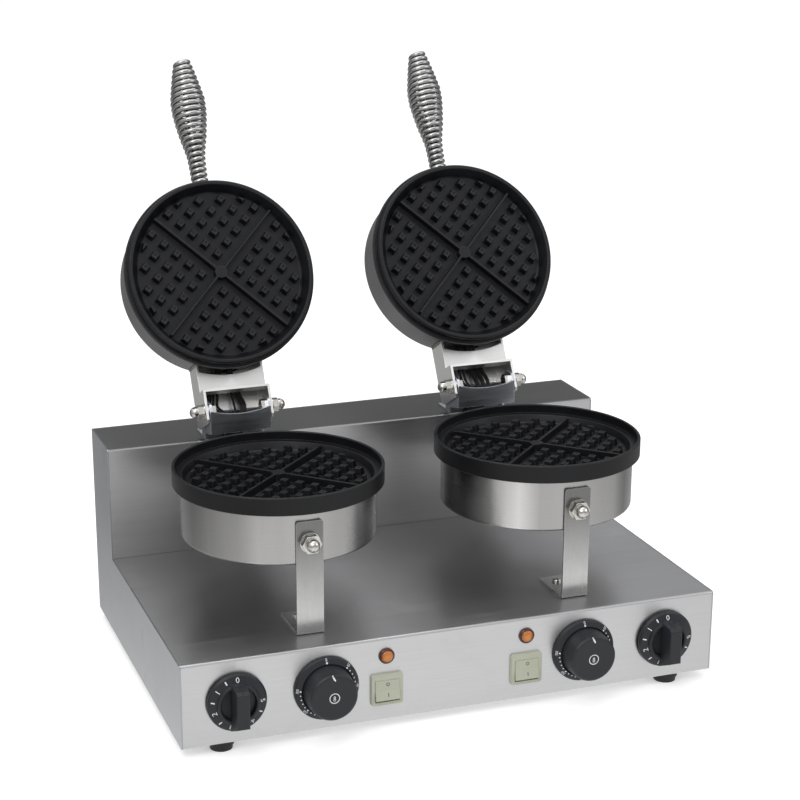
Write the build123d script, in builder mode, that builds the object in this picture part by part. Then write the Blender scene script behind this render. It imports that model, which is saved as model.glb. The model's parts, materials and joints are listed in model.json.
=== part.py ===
from build123d import *
import os
import math

# Twin round waffle baker: two hinged pairs of studded plates on one casing, both lids open
# and resting at their stops. Millimetres; X across the front (right positive), Y to the back,
# Z up. The origin is the centre of the casing's underside; the feet reach 10 mm below it.

os.makedirs("parts", exist_ok=True)

SIDES = ((-1, "left"), (1, "right"))
GAP = 0.05          # running clearance round bolts, pins and shafts
SEAT_GAP = 0.02     # clearance between a mounted part and the sheet it sits on
THREAD_GAP = 0.04   # extra bore of a cap nut over its bolt

# Casing
BODY_W = 550.0
BODY_D = 364.0
BODY_H = 85.0
TOWER_H = 121.0
TOWER_D = 79.0
SHEET = 1.5
BEND = 2.5          # outer bend radius
LIP = 30.0          # depth of the fascia's bottom lip
SEAM = 0.6
FRONT_Y = -BODY_D / 2
REAR_Y = BODY_D / 2
TOWER_Y = REAR_Y - TOWER_D
BASE_Z = 0.0
DECK_Z = BASE_Z + BODY_H
TOP_Z = DECK_Z + TOWER_H
IN_W = BODY_W / 2 - SHEET
HOLE_CUT = 3 * SHEET    # depth of the cuts for holes in the sheets

# Screws
SCREW_R = 2.5
SCREW_HOLE_R = 2.6
FOOT_X = 233.0
FOOT_Y = 167.0
REAR_HOLE_R = 2.1
REAR_SCREW_X = IN_W - 10
REAR_SCREW_TOP = 194
REAR_SCREWS = [(side * REAR_SCREW_X, z) for z in (14, 100, REAR_SCREW_TOP) for side in (-1, 1)]

# Baking units
UNIT_X = 137.7
UNIT_Y = -52.0
RING_R = 104.3
RING_IN = 101.2
RING_TOP = 226.2
RING_BOT = 208.4
LEDGE_Z = 217.2
CAVITY_R = 94.4
FLOOR_Z = 209.0
LOWER_FLOOR_R = 90.6
UPPER_FLOOR_R = 88.0
CAST_BACK_Z = 200.0
BODY_CAST_R = 94.6
DRUM_R = 97.0
DRUM_BOT = 156.2
DRUM_T = 1.5

# Supports of the drums
BRKT_W = 27.0
BRKT_T = 2.2
BRKT_TOP = 200.3
BOLT_Z = 179.0
DRUM_BOLT_D = 10.0
STRAP_SCREW_Y = UNIT_Y - 57.6
ARM_X = 30.0
ARM_SCREW_X = 38.0
ARM_Z0 = 162.0
ARM_Z1 = 196.0
ARM_Y0 = UNIT_Y + DRUM_R
LEAD_X = 19.0
GROMMET_NECK_R = 5.5
GROMMET_HOLE_R = GROMMET_NECK_R + GAP
TOP_LEAD_Y = 108.5

# Lid in its closed pose, and the rest angle of each side
LID_Z = 217.5
HINGE_Y = 90.6
HINGE_Z = 240.7
OPEN_ANGLE = {-1: 118.1, 1: 119.7}
LID_BACK_N = 18.0   # back of the upper casting from the rim plane
HINGE_BOLT_D = 8.0
HINGE_SCREW_X = 22.0
HINGE_SCREW_Y = 122.0

# Places of the controls on the fascia
TIMER_X = 221.5
THERMO_X = 133.0
KNOB_Z = 43.0
COLLAR_R = 5.0
LAMP_X = 72.3
LAMP_Z = 66.5
LAMP_HOLE_R = 6.1
SWITCH_Z = 32.5
SWITCH_BOX_W = 28.4
SWITCH_BOX_H = 29.2

# Mains entry
CORD_X = 190.0
CORD_Z = 42.0
GLAND_R = 10.0


# ------------------------------------------------------------------ helpers

def save(builder, name):
    builder.part.label = name
    export_step(builder.part, "parts/" + name + ".step")


def save_group(builders, name):
    """Save several pieces as one part."""
    with BuildPart() as together:
        for builder in builders:
            add(builder.part)
    save(together, name)


def round_corner(sketch, point, radius):
    """Fillet the corner of the open sketch that is nearest to the point."""
    fillet(sketch.vertices().sort_by_distance(point)[0], radius=radius)


def pair(x, y):
    """Two points mirrored across the middle of the baker."""
    return [(-x, y), (x, y)]


def point_on(plane, x, y, z):
    return plane.origin + plane.x_dir * x + plane.y_dir * y + plane.z_dir * z


def front_facing(y):
    """Plane at depth y with the global X and Z, facing the front."""
    return Plane.XZ.offset(-y)


def y_plane(x, y, z, facing):
    """Plane centred on a point, facing the back (1) or the front (-1)."""
    return Plane(origin=(x, y, z), x_dir=(1, 0, 0), z_dir=(0, facing, 0))


def up_plane(x, y, z=0.0):
    return Plane(origin=(x, y, z), x_dir=(1, 0, 0), z_dir=(0, 0, 1))


def unit_plane(side):
    return up_plane(side * UNIT_X, UNIT_Y)


def lid_plane(side):
    """Rim plane of the lid at rest: X across, Y towards the hinge, Z to the back of the lid."""
    angle = math.radians(OPEN_ANGLE[side])
    c, s = math.cos(angle), math.sin(angle)
    dy, dz = UNIT_Y - HINGE_Y, LID_Z - HINGE_Z
    origin = (side * UNIT_X, HINGE_Y + dy * c + dz * s, HINGE_Z - dy * s + dz * c)
    return Plane(origin=origin, x_dir=(1, 0, 0), z_dir=(0, s, c))


def side_view(base, x):
    """Plane holding the base's Y and Z, at local x, facing +X."""
    return Plane(origin=base.origin + base.x_dir * x, x_dir=base.y_dir, z_dir=base.x_dir)


def radial_view(base):
    """Plane holding the base's X and Z, for profiles turned about the base's Z."""
    return Plane(origin=base.origin, x_dir=base.x_dir, z_dir=-base.y_dir)


def turned(base, outline):
    """Outline of (radius, height) points turned about the base's Z."""
    with BuildPart() as body:
        with BuildSketch(radial_view(base)):
            with BuildLine():
                Polyline(*outline, close=True)
            make_face()
        revolve(axis=Axis(base.origin, base.z_dir))
    return body


# ------------------------------------------------------------------ fasteners

def acorn_nut(plane, flats, hex_height, total, bore, dome):
    """Domed cap nut standing on the plane; dome is the cap's diameter."""
    dome_r = dome / 2
    cap_start = hex_height - 0.5
    with BuildPart() as nut:
        with BuildSketch(plane):
            RegularPolygon(flats / 2, 6, major_radius=False)
        extrude(amount=hex_height)
        with BuildSketch(radial_view(plane)):
            with BuildLine():
                Line((0, cap_start), (dome_r, cap_start))
                Line((dome_r, cap_start), (dome_r, total - dome_r))
                CenterArc((0, total - dome_r), dome_r, 0, 90)
                Line((0, total), (0, cap_start))
            make_face()
        revolve(axis=Axis(plane.origin, plane.z_dir))
        with BuildSketch(plane):
            Circle(bore / 2)
        extrude(amount=total - 4.0, mode=Mode.SUBTRACT)
    return nut


def washer(plane, outer, inner, thickness):
    with BuildPart() as ring:
        with BuildSketch(plane):
            Circle(outer / 2)
            Circle(inner / 2, mode=Mode.SUBTRACT)
        extrude(amount=thickness)
    return ring


def hex_bolt(plane, flats, head, diameter, length):
    """Bolt whose head sits behind the plane and whose shank runs along its Z."""
    with BuildPart() as bolt:
        with BuildSketch(plane.offset(-head)):
            RegularPolygon(flats / 2, 6, major_radius=False)
        extrude(amount=head)
        with BuildSketch(plane):
            Circle(diameter / 2)
        extrude(amount=length)
    return bolt


def cross_screw(seat, head_r, head, length, slot, slot_depth, edge_r=0.0):
    """Cross-slotted screw with its head on the seat plane and its shank below."""
    with BuildPart() as screw:
        with BuildSketch(seat):
            Circle(head_r)
        extrude(amount=head)
        if edge_r:
            top_face = screw.faces().sort_by(Axis(seat.origin, seat.z_dir))[-1]
            fillet(top_face.edges(), radius=edge_r)
        with BuildSketch(seat):
            Circle(SCREW_R)
        extrude(amount=-length)
        with BuildSketch(seat.offset(head)):
            Rectangle(slot, 1.0)
            Rectangle(1.0, slot)
        extrude(amount=-slot_depth, mode=Mode.SUBTRACT)
    return screw


# ------------------------------------------------------------------ casing

def deck_front_panel():
    """Deck, fascia and bottom lip folded from one sheet."""
    with BuildPart() as panel:
        with BuildSketch(Plane.YZ) as profile:
            with BuildLine():
                Polyline((TOWER_Y - SEAM, DECK_Z), (FRONT_Y, DECK_Z), (FRONT_Y, BASE_Z),
                         (FRONT_Y + LIP, BASE_Z), (FRONT_Y + LIP, BASE_Z + SHEET),
                         (FRONT_Y + SHEET, BASE_Z + SHEET), (FRONT_Y + SHEET, DECK_Z - SHEET),
                         (TOWER_Y - SEAM, DECK_Z - SHEET), close=True)
            make_face()
            round_corner(profile, (FRONT_Y, DECK_Z), BEND)
            round_corner(profile, (FRONT_Y, BASE_Z), BEND)
            round_corner(profile, (FRONT_Y + SHEET, DECK_Z - SHEET), BEND - SHEET)
            round_corner(profile, (FRONT_Y + SHEET, BASE_Z + SHEET), BEND - SHEET)
        extrude(amount=IN_W, both=True)
        with BuildSketch(front_facing(FRONT_Y)):
            with Locations(*pair(TIMER_X, KNOB_Z), *pair(THERMO_X, KNOB_Z)):
                Circle(COLLAR_R + 0.1)
            with Locations(*pair(LAMP_X, LAMP_Z)):
                Circle(LAMP_HOLE_R)
            with Locations(*pair(LAMP_X, SWITCH_Z)):
                Rectangle(SWITCH_BOX_W + 0.2, SWITCH_BOX_H + 0.2)
        extrude(amount=-HOLE_CUT, mode=Mode.SUBTRACT)
        with BuildSketch(Plane.XY.offset(BASE_Z)):
            with Locations(*pair(FOOT_X, -FOOT_Y)):
                Circle(SCREW_HOLE_R)
        extrude(amount=HOLE_CUT, mode=Mode.SUBTRACT)
        with BuildSketch(Plane.XY.offset(DECK_Z)):
            with Locations(*pair(UNIT_X, STRAP_SCREW_Y)):
                Circle(SCREW_HOLE_R)
        extrude(amount=-HOLE_CUT, mode=Mode.SUBTRACT)
    return panel


def tower_cover():
    """Front, top and rear lip of the tower folded from one sheet."""
    lip_z = TOP_Z - 18
    lip_y = REAR_Y - SHEET
    with BuildPart() as cover:
        with BuildSketch(Plane.YZ) as profile:
            with BuildLine():
                Polyline((TOWER_Y, DECK_Z), (TOWER_Y, TOP_Z), (lip_y, TOP_Z), (lip_y, lip_z),
                         (lip_y - SHEET, lip_z), (lip_y - SHEET, TOP_Z - SHEET),
                         (TOWER_Y + SHEET, TOP_Z - SHEET), (TOWER_Y + SHEET, DECK_Z - SHEET),
                         (TOWER_Y, DECK_Z - SHEET), close=True)
            make_face()
            round_corner(profile, (TOWER_Y, TOP_Z), BEND)
            round_corner(profile, (TOWER_Y + SHEET, TOP_Z - SHEET), BEND - SHEET)
        extrude(amount=IN_W, both=True)
        with BuildSketch(Plane.XY.offset(TOP_Z)):
            for side, _ in SIDES:
                with Locations((side * UNIT_X, HINGE_SCREW_Y)):
                    with GridLocations(2 * HINGE_SCREW_X, 1, 2, 1):
                        Circle(SCREW_HOLE_R)
                with Locations((side * UNIT_X, TOP_LEAD_Y)):
                    SlotOverall(24, 9)
        extrude(amount=-HOLE_CUT, mode=Mode.SUBTRACT)
        with BuildSketch(front_facing(TOWER_Y)):
            for side, _ in SIDES:
                with Locations((side * UNIT_X, BOLT_Z)):
                    with GridLocations(2 * ARM_SCREW_X, 1, 2, 1):
                        Circle(SCREW_HOLE_R)
                with Locations((side * UNIT_X + LEAD_X, BOLT_Z)):
                    Circle(GROMMET_HOLE_R)
        extrude(amount=-HOLE_CUT, mode=Mode.SUBTRACT)
        with BuildSketch(front_facing(REAR_Y)):
            with Locations(*pair(REAR_SCREW_X, REAR_SCREW_TOP)):
                Circle(REAR_HOLE_R)
        extrude(amount=6.0, mode=Mode.SUBTRACT)
    return cover


def side_panel(side):
    """L-shaped sheet closing one end of the casing."""
    with BuildPart() as panel:
        with BuildSketch(Plane.YZ.offset(IN_W if side > 0 else -BODY_W / 2)) as outline:
            with BuildLine():
                Polyline((FRONT_Y, BASE_Z), (REAR_Y, BASE_Z), (REAR_Y, TOP_Z),
                         (TOWER_Y, TOP_Z), (TOWER_Y, DECK_Z), (FRONT_Y, DECK_Z), close=True)
            make_face()
            round_corner(outline, (FRONT_Y, DECK_Z), BEND)
            round_corner(outline, (FRONT_Y, BASE_Z), BEND)
            round_corner(outline, (TOWER_Y, TOP_Z), BEND)
        extrude(amount=SHEET)
    return panel


VENT_PITCH = 14
VENT_W = 4


def rear_panel():
    """Rear sheet with three rows of cooling slots and the cord entry."""
    with BuildPart() as panel:
        with BuildSketch(front_facing(REAR_Y)):
            with Locations((0, (BASE_Z + TOP_Z) / 2)):
                Rectangle(2 * IN_W, TOP_Z - BASE_Z)
        extrude(amount=SHEET)
        with BuildSketch(front_facing(REAR_Y)):
            with Locations((0, 50)):
                with GridLocations(VENT_PITCH, 34, 16, 2):
                    SlotOverall(24, VENT_W, rotation=90)
            with Locations((0, 155)):
                with GridLocations(VENT_PITCH, 1, 26, 1):
                    SlotOverall(30, VENT_W, rotation=90)
            with Locations((CORD_X, CORD_Z)):
                Circle(GLAND_R + 0.1)
            with Locations(*REAR_SCREWS):
                Circle(REAR_HOLE_R)
        extrude(amount=HOLE_CUT, both=True, mode=Mode.SUBTRACT)
    return panel


# Middle panel of the bottom plate and the bead round it
PANEL_W = 100.0
PANEL_D = 220.0
PANEL_CORNER = 12
BEAD_W = 6.0
BEAD_H = 0.6
GROOVE_INSET = 0.5      # the bead's groove is this much narrower on each edge


def bottom_plate():
    """Bottom sheet with cooling slots and a raised bead, hollow beneath."""
    front = FRONT_Y + LIP
    back = REAR_Y - SHEET
    bead_w, bead_d = PANEL_W + 2 * BEAD_W, PANEL_D + 2 * BEAD_W
    bead_corner = PANEL_CORNER + BEAD_W
    inset = GROOVE_INSET
    with BuildPart() as plate:
        with BuildSketch(Plane.XY.offset(BASE_Z)):
            with Locations((0, (front + back) / 2)):
                Rectangle(2 * IN_W, back - front)
        extrude(amount=SHEET)
        with BuildSketch(Plane.XY.offset(BASE_Z)):
            for side, _ in SIDES:
                with Locations((side * UNIT_X, UNIT_Y)):
                    with GridLocations(13, 60, 9, 2):
                        SlotOverall(44, 5, rotation=90)
            with Locations(*pair(FOOT_X, FOOT_Y)):
                Circle(SCREW_HOLE_R)
        extrude(amount=HOLE_CUT, mode=Mode.SUBTRACT)
        with BuildSketch(Plane.XY.offset(BASE_Z + SHEET)):
            RectangleRounded(bead_w, bead_d, bead_corner)
            RectangleRounded(PANEL_W, PANEL_D, PANEL_CORNER, mode=Mode.SUBTRACT)
        extrude(amount=BEAD_H)
        with BuildSketch(Plane.XY.offset(BASE_Z)):
            RectangleRounded(bead_w - 2 * inset, bead_d - 2 * inset, bead_corner - inset)
            RectangleRounded(PANEL_W + 2 * inset, PANEL_D + 2 * inset, PANEL_CORNER + inset,
                             mode=Mode.SUBTRACT)
        extrude(amount=BEAD_H, mode=Mode.SUBTRACT)
    return plate


FOOT_H = 10.0
FOOT_R = 12.5
FOOT_GRID = (2 * FOOT_X, 2 * FOOT_Y, 2, 2)
FOOT_HEAD_Z = -8.0      # underside of the foot screws' heads
FOOT_POCKET = 5.0


def rubber_feet():
    """Stepped feet with a pocket for the screw head."""
    with BuildPart() as feet:
        with BuildSketch(Plane.XY.offset(-FOOT_H)):
            with GridLocations(*FOOT_GRID):
                Circle(FOOT_R - 1.5)
        extrude(amount=FOOT_H / 2)
        with BuildSketch(Plane.XY.offset(-FOOT_H / 2)):
            with GridLocations(*FOOT_GRID):
                Circle(FOOT_R)
        extrude(amount=FOOT_H / 2)
        with BuildSketch(Plane.XY.offset(-FOOT_H)):
            with GridLocations(*FOOT_GRID):
                Circle(5.2)
        extrude(amount=FOOT_POCKET, mode=Mode.SUBTRACT)
        with BuildSketch(Plane.XY.offset(-FOOT_H)):
            with GridLocations(*FOOT_GRID):
                Circle(SCREW_HOLE_R)
        extrude(amount=FOOT_H, mode=Mode.SUBTRACT)
    return feet


def foot_screws():
    with BuildPart() as screws:
        with BuildSketch(Plane.XY.offset(FOOT_HEAD_Z)):
            with GridLocations(*FOOT_GRID):
                Circle(4.8)
        extrude(amount=-FOOT_HEAD_Z - FOOT_POCKET)
        with BuildSketch(Plane.XY.offset(FOOT_HEAD_Z + 2.0)):
            with GridLocations(*FOOT_GRID):
                Circle(SCREW_R)
        extrude(amount=14.0)
        with BuildSketch(Plane.XY.offset(FOOT_HEAD_Z)):
            with GridLocations(*FOOT_GRID):
                Rectangle(5.6, 1.0)
                Rectangle(1.0, 5.6)
        extrude(amount=1.4, mode=Mode.SUBTRACT)
    return screws


def casing_screws():
    """Cross-slotted screws of the rear panel."""
    head = 1.8
    with BuildPart() as screws:
        with BuildSketch(front_facing(REAR_Y)):
            with Locations(*REAR_SCREWS):
                Circle(3.6)
        extrude(amount=-head)
        with BuildSketch(front_facing(REAR_Y)):
            with Locations(*REAR_SCREWS):
                Circle(2.0)
        extrude(amount=9.0)
        with BuildSketch(front_facing(REAR_Y + head)):
            with Locations(*REAR_SCREWS):
                Rectangle(4.2, 0.8)
                Rectangle(0.8, 4.2)
        extrude(amount=1.0, mode=Mode.SUBTRACT)
    return screws


save(deck_front_panel(), "deck_front_panel")
save(tower_cover(), "tower_cover")
for side, side_name in SIDES:
    save(side_panel(side), "side_panel_" + side_name)
save(rear_panel(), "rear_panel")
save(bottom_plate(), "bottom_plate")
save(rubber_feet(), "rubber_feet")
save(foot_screws(), "foot_screws")
save(casing_screws(), "casing_screws")


# ------------------------------------------------------------------ drums and their supports

def front_bracket(side):
    """Strap from the deck up to the drum wall, with its foot folded back under the drum."""
    front = UNIT_Y - DRUM_R - BRKT_T
    wall = UNIT_Y - DRUM_R
    foot_end = UNIT_Y - 45.0
    foot_top = DECK_Z + BRKT_T
    with BuildPart() as bracket:
        with BuildSketch(Plane.YZ.offset(side * UNIT_X)) as profile:
            with BuildLine():
                Polyline((front, DECK_Z), (front, BRKT_TOP), (wall, BRKT_TOP), (wall, foot_top),
                         (foot_end, foot_top), (foot_end, DECK_Z), close=True)
            make_face()
            round_corner(profile, (front, DECK_Z), 2.7)
            round_corner(profile, (wall, foot_top), 0.6)
        extrude(amount=BRKT_W / 2, both=True)
        fillet(bracket.edges().filter_by(Axis.Y).group_by(Axis.Z)[-1], radius=3.0)
        with BuildSketch(front_facing(front - 1)):
            with Locations((side * UNIT_X, BOLT_Z)):
                Circle(DRUM_BOLT_D / 2 + GAP)
        extrude(amount=-8.0, mode=Mode.SUBTRACT)
        with BuildSketch(Plane.XY.offset(DECK_Z)):
            with Locations((side * UNIT_X, STRAP_SCREW_Y)):
                Circle(SCREW_HOLE_R)
        extrude(amount=6.0, mode=Mode.SUBTRACT)
    return bracket


def rear_arm(side):
    """Channel from the tower front to the back of the drum, with a flange each side."""
    centre = side * UNIT_X
    with BuildPart() as arm:
        with BuildSketch(Plane.XY.offset(ARM_Z0)):
            with Locations((centre, (ARM_Y0 + TOWER_Y) / 2)):
                Rectangle(2 * ARM_X, TOWER_Y - ARM_Y0)
            with Locations((centre, (ARM_Y0 + BRKT_T + TOWER_Y) / 2)):
                Rectangle(2 * (ARM_X - BRKT_T), TOWER_Y - ARM_Y0 - BRKT_T, mode=Mode.SUBTRACT)
            for end in (-1, 1):
                with Locations((centre + end * (ARM_X + 7.0), TOWER_Y - BRKT_T / 2)):
                    Rectangle(16.0, BRKT_T)
        extrude(amount=ARM_Z1 - ARM_Z0)
        with BuildSketch(front_facing(ARM_Y0 - 2)):
            with Locations((centre, BOLT_Z)):
                Circle(DRUM_BOLT_D / 2 + GAP)
            with Locations((centre + LEAD_X, BOLT_Z)):
                Circle(GROMMET_HOLE_R)
        extrude(amount=-8.0, mode=Mode.SUBTRACT)
        with BuildSketch(front_facing(TOWER_Y)):
            with Locations((centre, BOLT_Z)):
                with GridLocations(2 * ARM_SCREW_X, 1, 2, 1):
                    Circle(SCREW_HOLE_R)
        extrude(amount=6.0, mode=Mode.SUBTRACT)
    return arm


def lower_drum(side):
    """Spun cup under the lower plate, with bolt holes front and back and a lead hole behind."""
    base = unit_plane(side)
    inner_r = DRUM_R - DRUM_T
    inner_z = DRUM_BOT + DRUM_T
    with BuildPart() as drum:
        with BuildSketch(radial_view(base)) as profile:
            with BuildLine():
                Polyline((0, DRUM_BOT), (DRUM_R, DRUM_BOT), (DRUM_R, RING_BOT),
                         (inner_r, RING_BOT), (inner_r, inner_z), (0, inner_z), close=True)
            make_face()
            round_corner(profile, (DRUM_R, DRUM_BOT), 3.0)
            round_corner(profile, (inner_r, inner_z), 1.5)
        revolve(axis=Axis(base.origin, base.z_dir))
        with BuildSketch(front_facing(UNIT_Y)):
            with Locations((side * UNIT_X, BOLT_Z)):
                Circle(DRUM_BOLT_D / 2 + GAP)
        extrude(amount=DRUM_R + 2, both=True, mode=Mode.SUBTRACT)
        with BuildSketch(front_facing(UNIT_Y)):
            with Locations((side * UNIT_X + LEAD_X, BOLT_Z)):
                Circle(8.0)
        extrude(amount=-DRUM_R - 2, mode=Mode.SUBTRACT)
    return drum


def save_drum_fasteners():
    """Bolts, washers and cap nuts of the drums, and the screws of the straps and arms."""
    bolts, washers, nuts, screws = [], [], [], []
    washer_t = 1.6
    for side, _ in SIDES:
        centre = side * UNIT_X
        for facing in (-1, 1):
            head_y = UNIT_Y + facing * (DRUM_R - DRUM_T - 0.6)
            face_y = UNIT_Y + facing * (DRUM_R + BRKT_T)
            inner = y_plane(centre, head_y, BOLT_Z, facing)
            outer = y_plane(centre, face_y, BOLT_Z, facing)
            bolts.append(hex_bolt(inner, flats=17, head=6.4, diameter=DRUM_BOLT_D, length=15.0))
            washers.append(washer(outer, 20, DRUM_BOLT_D + 2 * GAP, washer_t))
            nuts.append(acorn_nut(outer.offset(washer_t), flats=17, hex_height=6.6, total=15.4,
                                  bore=DRUM_BOLT_D + THREAD_GAP, dome=13.2))
        seats = [up_plane(centre, STRAP_SCREW_Y, DECK_Z + BRKT_T)]
        for end in (-1, 1):
            seats.append(y_plane(centre + end * ARM_SCREW_X, TOWER_Y - BRKT_T, BOLT_Z, -1))
        for seat in seats:
            screws.append(cross_screw(seat, head_r=4.8, head=2.6, length=12.0, slot=5.0,
                                      slot_depth=1.5, edge_r=1.4))
    save_group(bolts, "drum_bolts")
    save_group(washers, "drum_washers")
    save_group(nuts, "drum_acorn_nuts")
    save_group(screws, "bracket_foot_screws")


for side, side_name in SIDES:
    save(front_bracket(side), "front_bracket_" + side_name)
    save(lower_drum(side), "lower_drum_" + side_name)
save_group([rear_arm(side) for side, _ in SIDES], "rear_brackets")
save_drum_fasteners()


# ------------------------------------------------------------------ waffle plates and heaters

STUD_PITCH = 16.6
STUD_FIRST = 14.6       # first stud's distance from each rib's centre line
STUD_FOOT = 9.6         # widths at the foot, sunk below the floor
RIB_FOOT = 3.8
HUB_FOOT_R = 7.3
SINK = 1.0
STUD_TAPER = 11.0
RIB_TAPER = 5.0
STUD_LIMIT_R = 87.4
DIMPLE_R = 1.7
DIMPLE_LIMIT_R = 84     # studs centred farther out have no dimple
OUTER_STUDS = ((3, 4), (4, 3), (2, 5), (5, 2))


def stud_points():
    points = []
    for i in range(1, 6):
        for j in range(1, 6):
            if i + j <= 6 or (i, j) in OUTER_STUDS:
                x = STUD_FIRST + (i - 1) * STUD_PITCH
                y = STUD_FIRST + (j - 1) * STUD_PITCH
                points += [(x, y), (-x, y), (x, -y), (-x, -y)]
    return points


def waffle_plate(base, outline, floor, up, rib_top, stud_h, floor_r):
    """Turned casting with ribs, hub and dimpled studs standing on its floor.

    Heights are along the base's Z; up is +1 when the studs point along it, else -1."""
    studs = stud_points()
    dimpled = [p for p in studs if math.hypot(*p) < DIMPLE_LIMIT_R]
    rib_length = 2 * (floor_r + 1.5)
    grid = Plane(origin=base.origin + base.z_dir * (floor - up * SINK),
                 x_dir=base.x_dir + base.y_dir, z_dir=base.z_dir * up)
    with BuildPart() as plate:
        with BuildSketch(radial_view(base)):
            with BuildLine():
                Polyline(*outline, close=True)
            make_face()
        revolve(axis=Axis(base.origin, base.z_dir))
        with BuildSketch(grid):
            Rectangle(rib_length, RIB_FOOT)
            Rectangle(RIB_FOOT, rib_length)
            Circle(HUB_FOOT_R)
        extrude(amount=abs(rib_top - floor) + SINK, taper=RIB_TAPER)
        with BuildSketch(grid):
            with Locations(*studs):
                Rectangle(STUD_FOOT, STUD_FOOT)
            Circle(STUD_LIMIT_R, mode=Mode.INTERSECT)
        extrude(amount=stud_h + SINK, taper=STUD_TAPER)
        with BuildSketch(grid.offset(stud_h + SINK)):
            with Locations(*dimpled):
                Circle(DIMPLE_R)
        extrude(amount=-0.8, mode=Mode.SUBTRACT)
    return plate


# Turned outlines: (radius, height along the base's Z)
LOWER_OUTLINE = [
    (0, CAST_BACK_Z), (BODY_CAST_R, CAST_BACK_Z), (BODY_CAST_R, RING_BOT),
    (RING_R - 0.6, RING_BOT), (RING_R, RING_BOT + 0.6), (RING_R, RING_TOP - 0.8),
    (RING_R - 0.8, RING_TOP), (RING_IN + 0.6, RING_TOP), (RING_IN, RING_TOP - 0.6),
    (RING_IN, LEDGE_Z), (CAVITY_R, LEDGE_Z), (LOWER_FLOOR_R + 0.8, FLOOR_Z + 1.0),
    (LOWER_FLOOR_R - 0.6, FLOOR_Z), (0, FLOOR_Z)]

RIM_R = 98.9
FLANGE_R = 101.6
FLANGE_N0 = 9.2
FLANGE_N1 = 16.0
LID_FLOOR_N = 12.6
LID_RIB_N = 4.0
UPPER_OUTLINE = [
    (0, LID_FLOOR_N), (UPPER_FLOOR_R - 0.6, LID_FLOOR_N),
    (UPPER_FLOOR_R + 1.0, LID_FLOOR_N - 1.2), (CAVITY_R, 0.8), (CAVITY_R + 0.8, 0),
    (RIM_R - 1.2, 0), (RIM_R, 1.2), (RIM_R, FLANGE_N0), (FLANGE_R - 0.8, FLANGE_N0),
    (FLANGE_R, FLANGE_N0 + 0.8), (FLANGE_R, FLANGE_N1 - 0.8), (FLANGE_R - 0.8, FLANGE_N1),
    (BODY_CAST_R, FLANGE_N1), (BODY_CAST_R, LID_BACK_N), (0, LID_BACK_N)]

HEAT_R = 60.0
TUBE_D = 7.5
HEAT_ARC = 330      # degrees of the open ring


def heater(base, cast_back, out):
    """Tube bent to an open ring, with two straight legs.

    cast_back is the height of the casting's back; out is the Z direction away from it."""
    height = cast_back + out * (TUBE_D / 2 + GAP)
    with BuildPart() as element:
        with BuildSketch(radial_view(base)):
            with Locations((HEAT_R, height)):
                Circle(TUBE_D / 2)
        revolve(axis=Axis(base.origin, base.z_dir), revolution_arc=HEAT_ARC)
        for degrees in (0, HEAT_ARC):
            angle = math.radians(degrees)
            start = point_on(base, HEAT_R * math.cos(angle), HEAT_R * math.sin(angle), height)
            with BuildSketch(Plane(origin=start, x_dir=base.x_dir, z_dir=base.z_dir * out)):
                Circle(TUBE_D / 2)
            extrude(amount=17.0)
    return element


def heater_clamp(base, cast_back, out):
    """Pierced disc that holds the ring against the casting, with a central post and hexagon."""
    back = Plane(origin=base.origin + base.z_dir * cast_back, x_dir=base.x_dir,
                 z_dir=base.z_dir * out)
    disc_t = 2.0
    disc_start = TUBE_D + 0.15
    with BuildPart() as clamp:
        with BuildSketch(back.offset(disc_start)):
            Circle(HEAT_R - TUBE_D / 2 - 2.0)
        extrude(amount=disc_t)
        with BuildSketch(back.offset(disc_start)):
            with PolarLocations(34, 6):
                Circle(7)
        extrude(amount=disc_t, mode=Mode.SUBTRACT)
        with BuildSketch(back.offset(GAP)):
            Circle(9)
        extrude(amount=disc_start - GAP)
        with BuildSketch(back.offset(disc_start + disc_t)):
            RegularPolygon(7.5, 6)
        extrude(amount=6.0)
    return clamp


for side, side_name in SIDES:
    plate = waffle_plate(unit_plane(side), LOWER_OUTLINE, floor=FLOOR_Z, up=1,
                         rib_top=LEDGE_Z - 0.4, stud_h=7.0, floor_r=LOWER_FLOOR_R)
    save(plate, "lower_plate_" + side_name)
    lid = lid_plane(side)
    plate = waffle_plate(lid, UPPER_OUTLINE, floor=LID_FLOOR_N, up=-1,
                         rib_top=LID_RIB_N, stud_h=8.0, floor_r=UPPER_FLOOR_R)
    save(plate, "upper_plate_" + side_name)
    save(heater(lid, LID_BACK_N, 1), "upper_heater_" + side_name)
    save(heater_clamp(lid, LID_BACK_N, 1), "upper_heater_clamp_" + side_name)
save_group([heater(unit_plane(side), CAST_BACK_Z, -1) for side, _ in SIDES], "lower_heaters")
save_group([heater_clamp(unit_plane(side), CAST_BACK_Z, -1) for side, _ in SIDES],
           "lower_heater_clamps")


# ------------------------------------------------------------------ fixed hinge brackets

FIX_HALF = 32.5
FIX_T = 2.5
FIX_FRONT_Y = 78.0
FIX_BACK_Y = 114.8
FIX_LOW_Z = 219.0
FIX_TOP_Z = 243.6
FIX_REAR_Z = 232.4
HOLLOW_R = 105.0
HOLLOW_DEPTH = 4.5
EAR_TOP_FRONT = (HINGE_Y - 9, HINGE_Z + 10.0)
EAR_TOP_BACK = (HINGE_Y + 9, HINGE_Z + 10.0)
# Cheek outline: (y, z)
CHEEK = [(FIX_FRONT_Y, FIX_LOW_Z), (FIX_FRONT_Y, FIX_TOP_Z), EAR_TOP_FRONT, EAR_TOP_BACK,
         (HINGE_Y + 15, HINGE_Z - 9), (FIX_BACK_Y, FIX_REAR_Z), (FIX_BACK_Y, TOP_Z),
         (TOWER_Y + 1.2, TOP_Z), (TOWER_Y + 1.2, TOP_Z + 7)]


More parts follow.
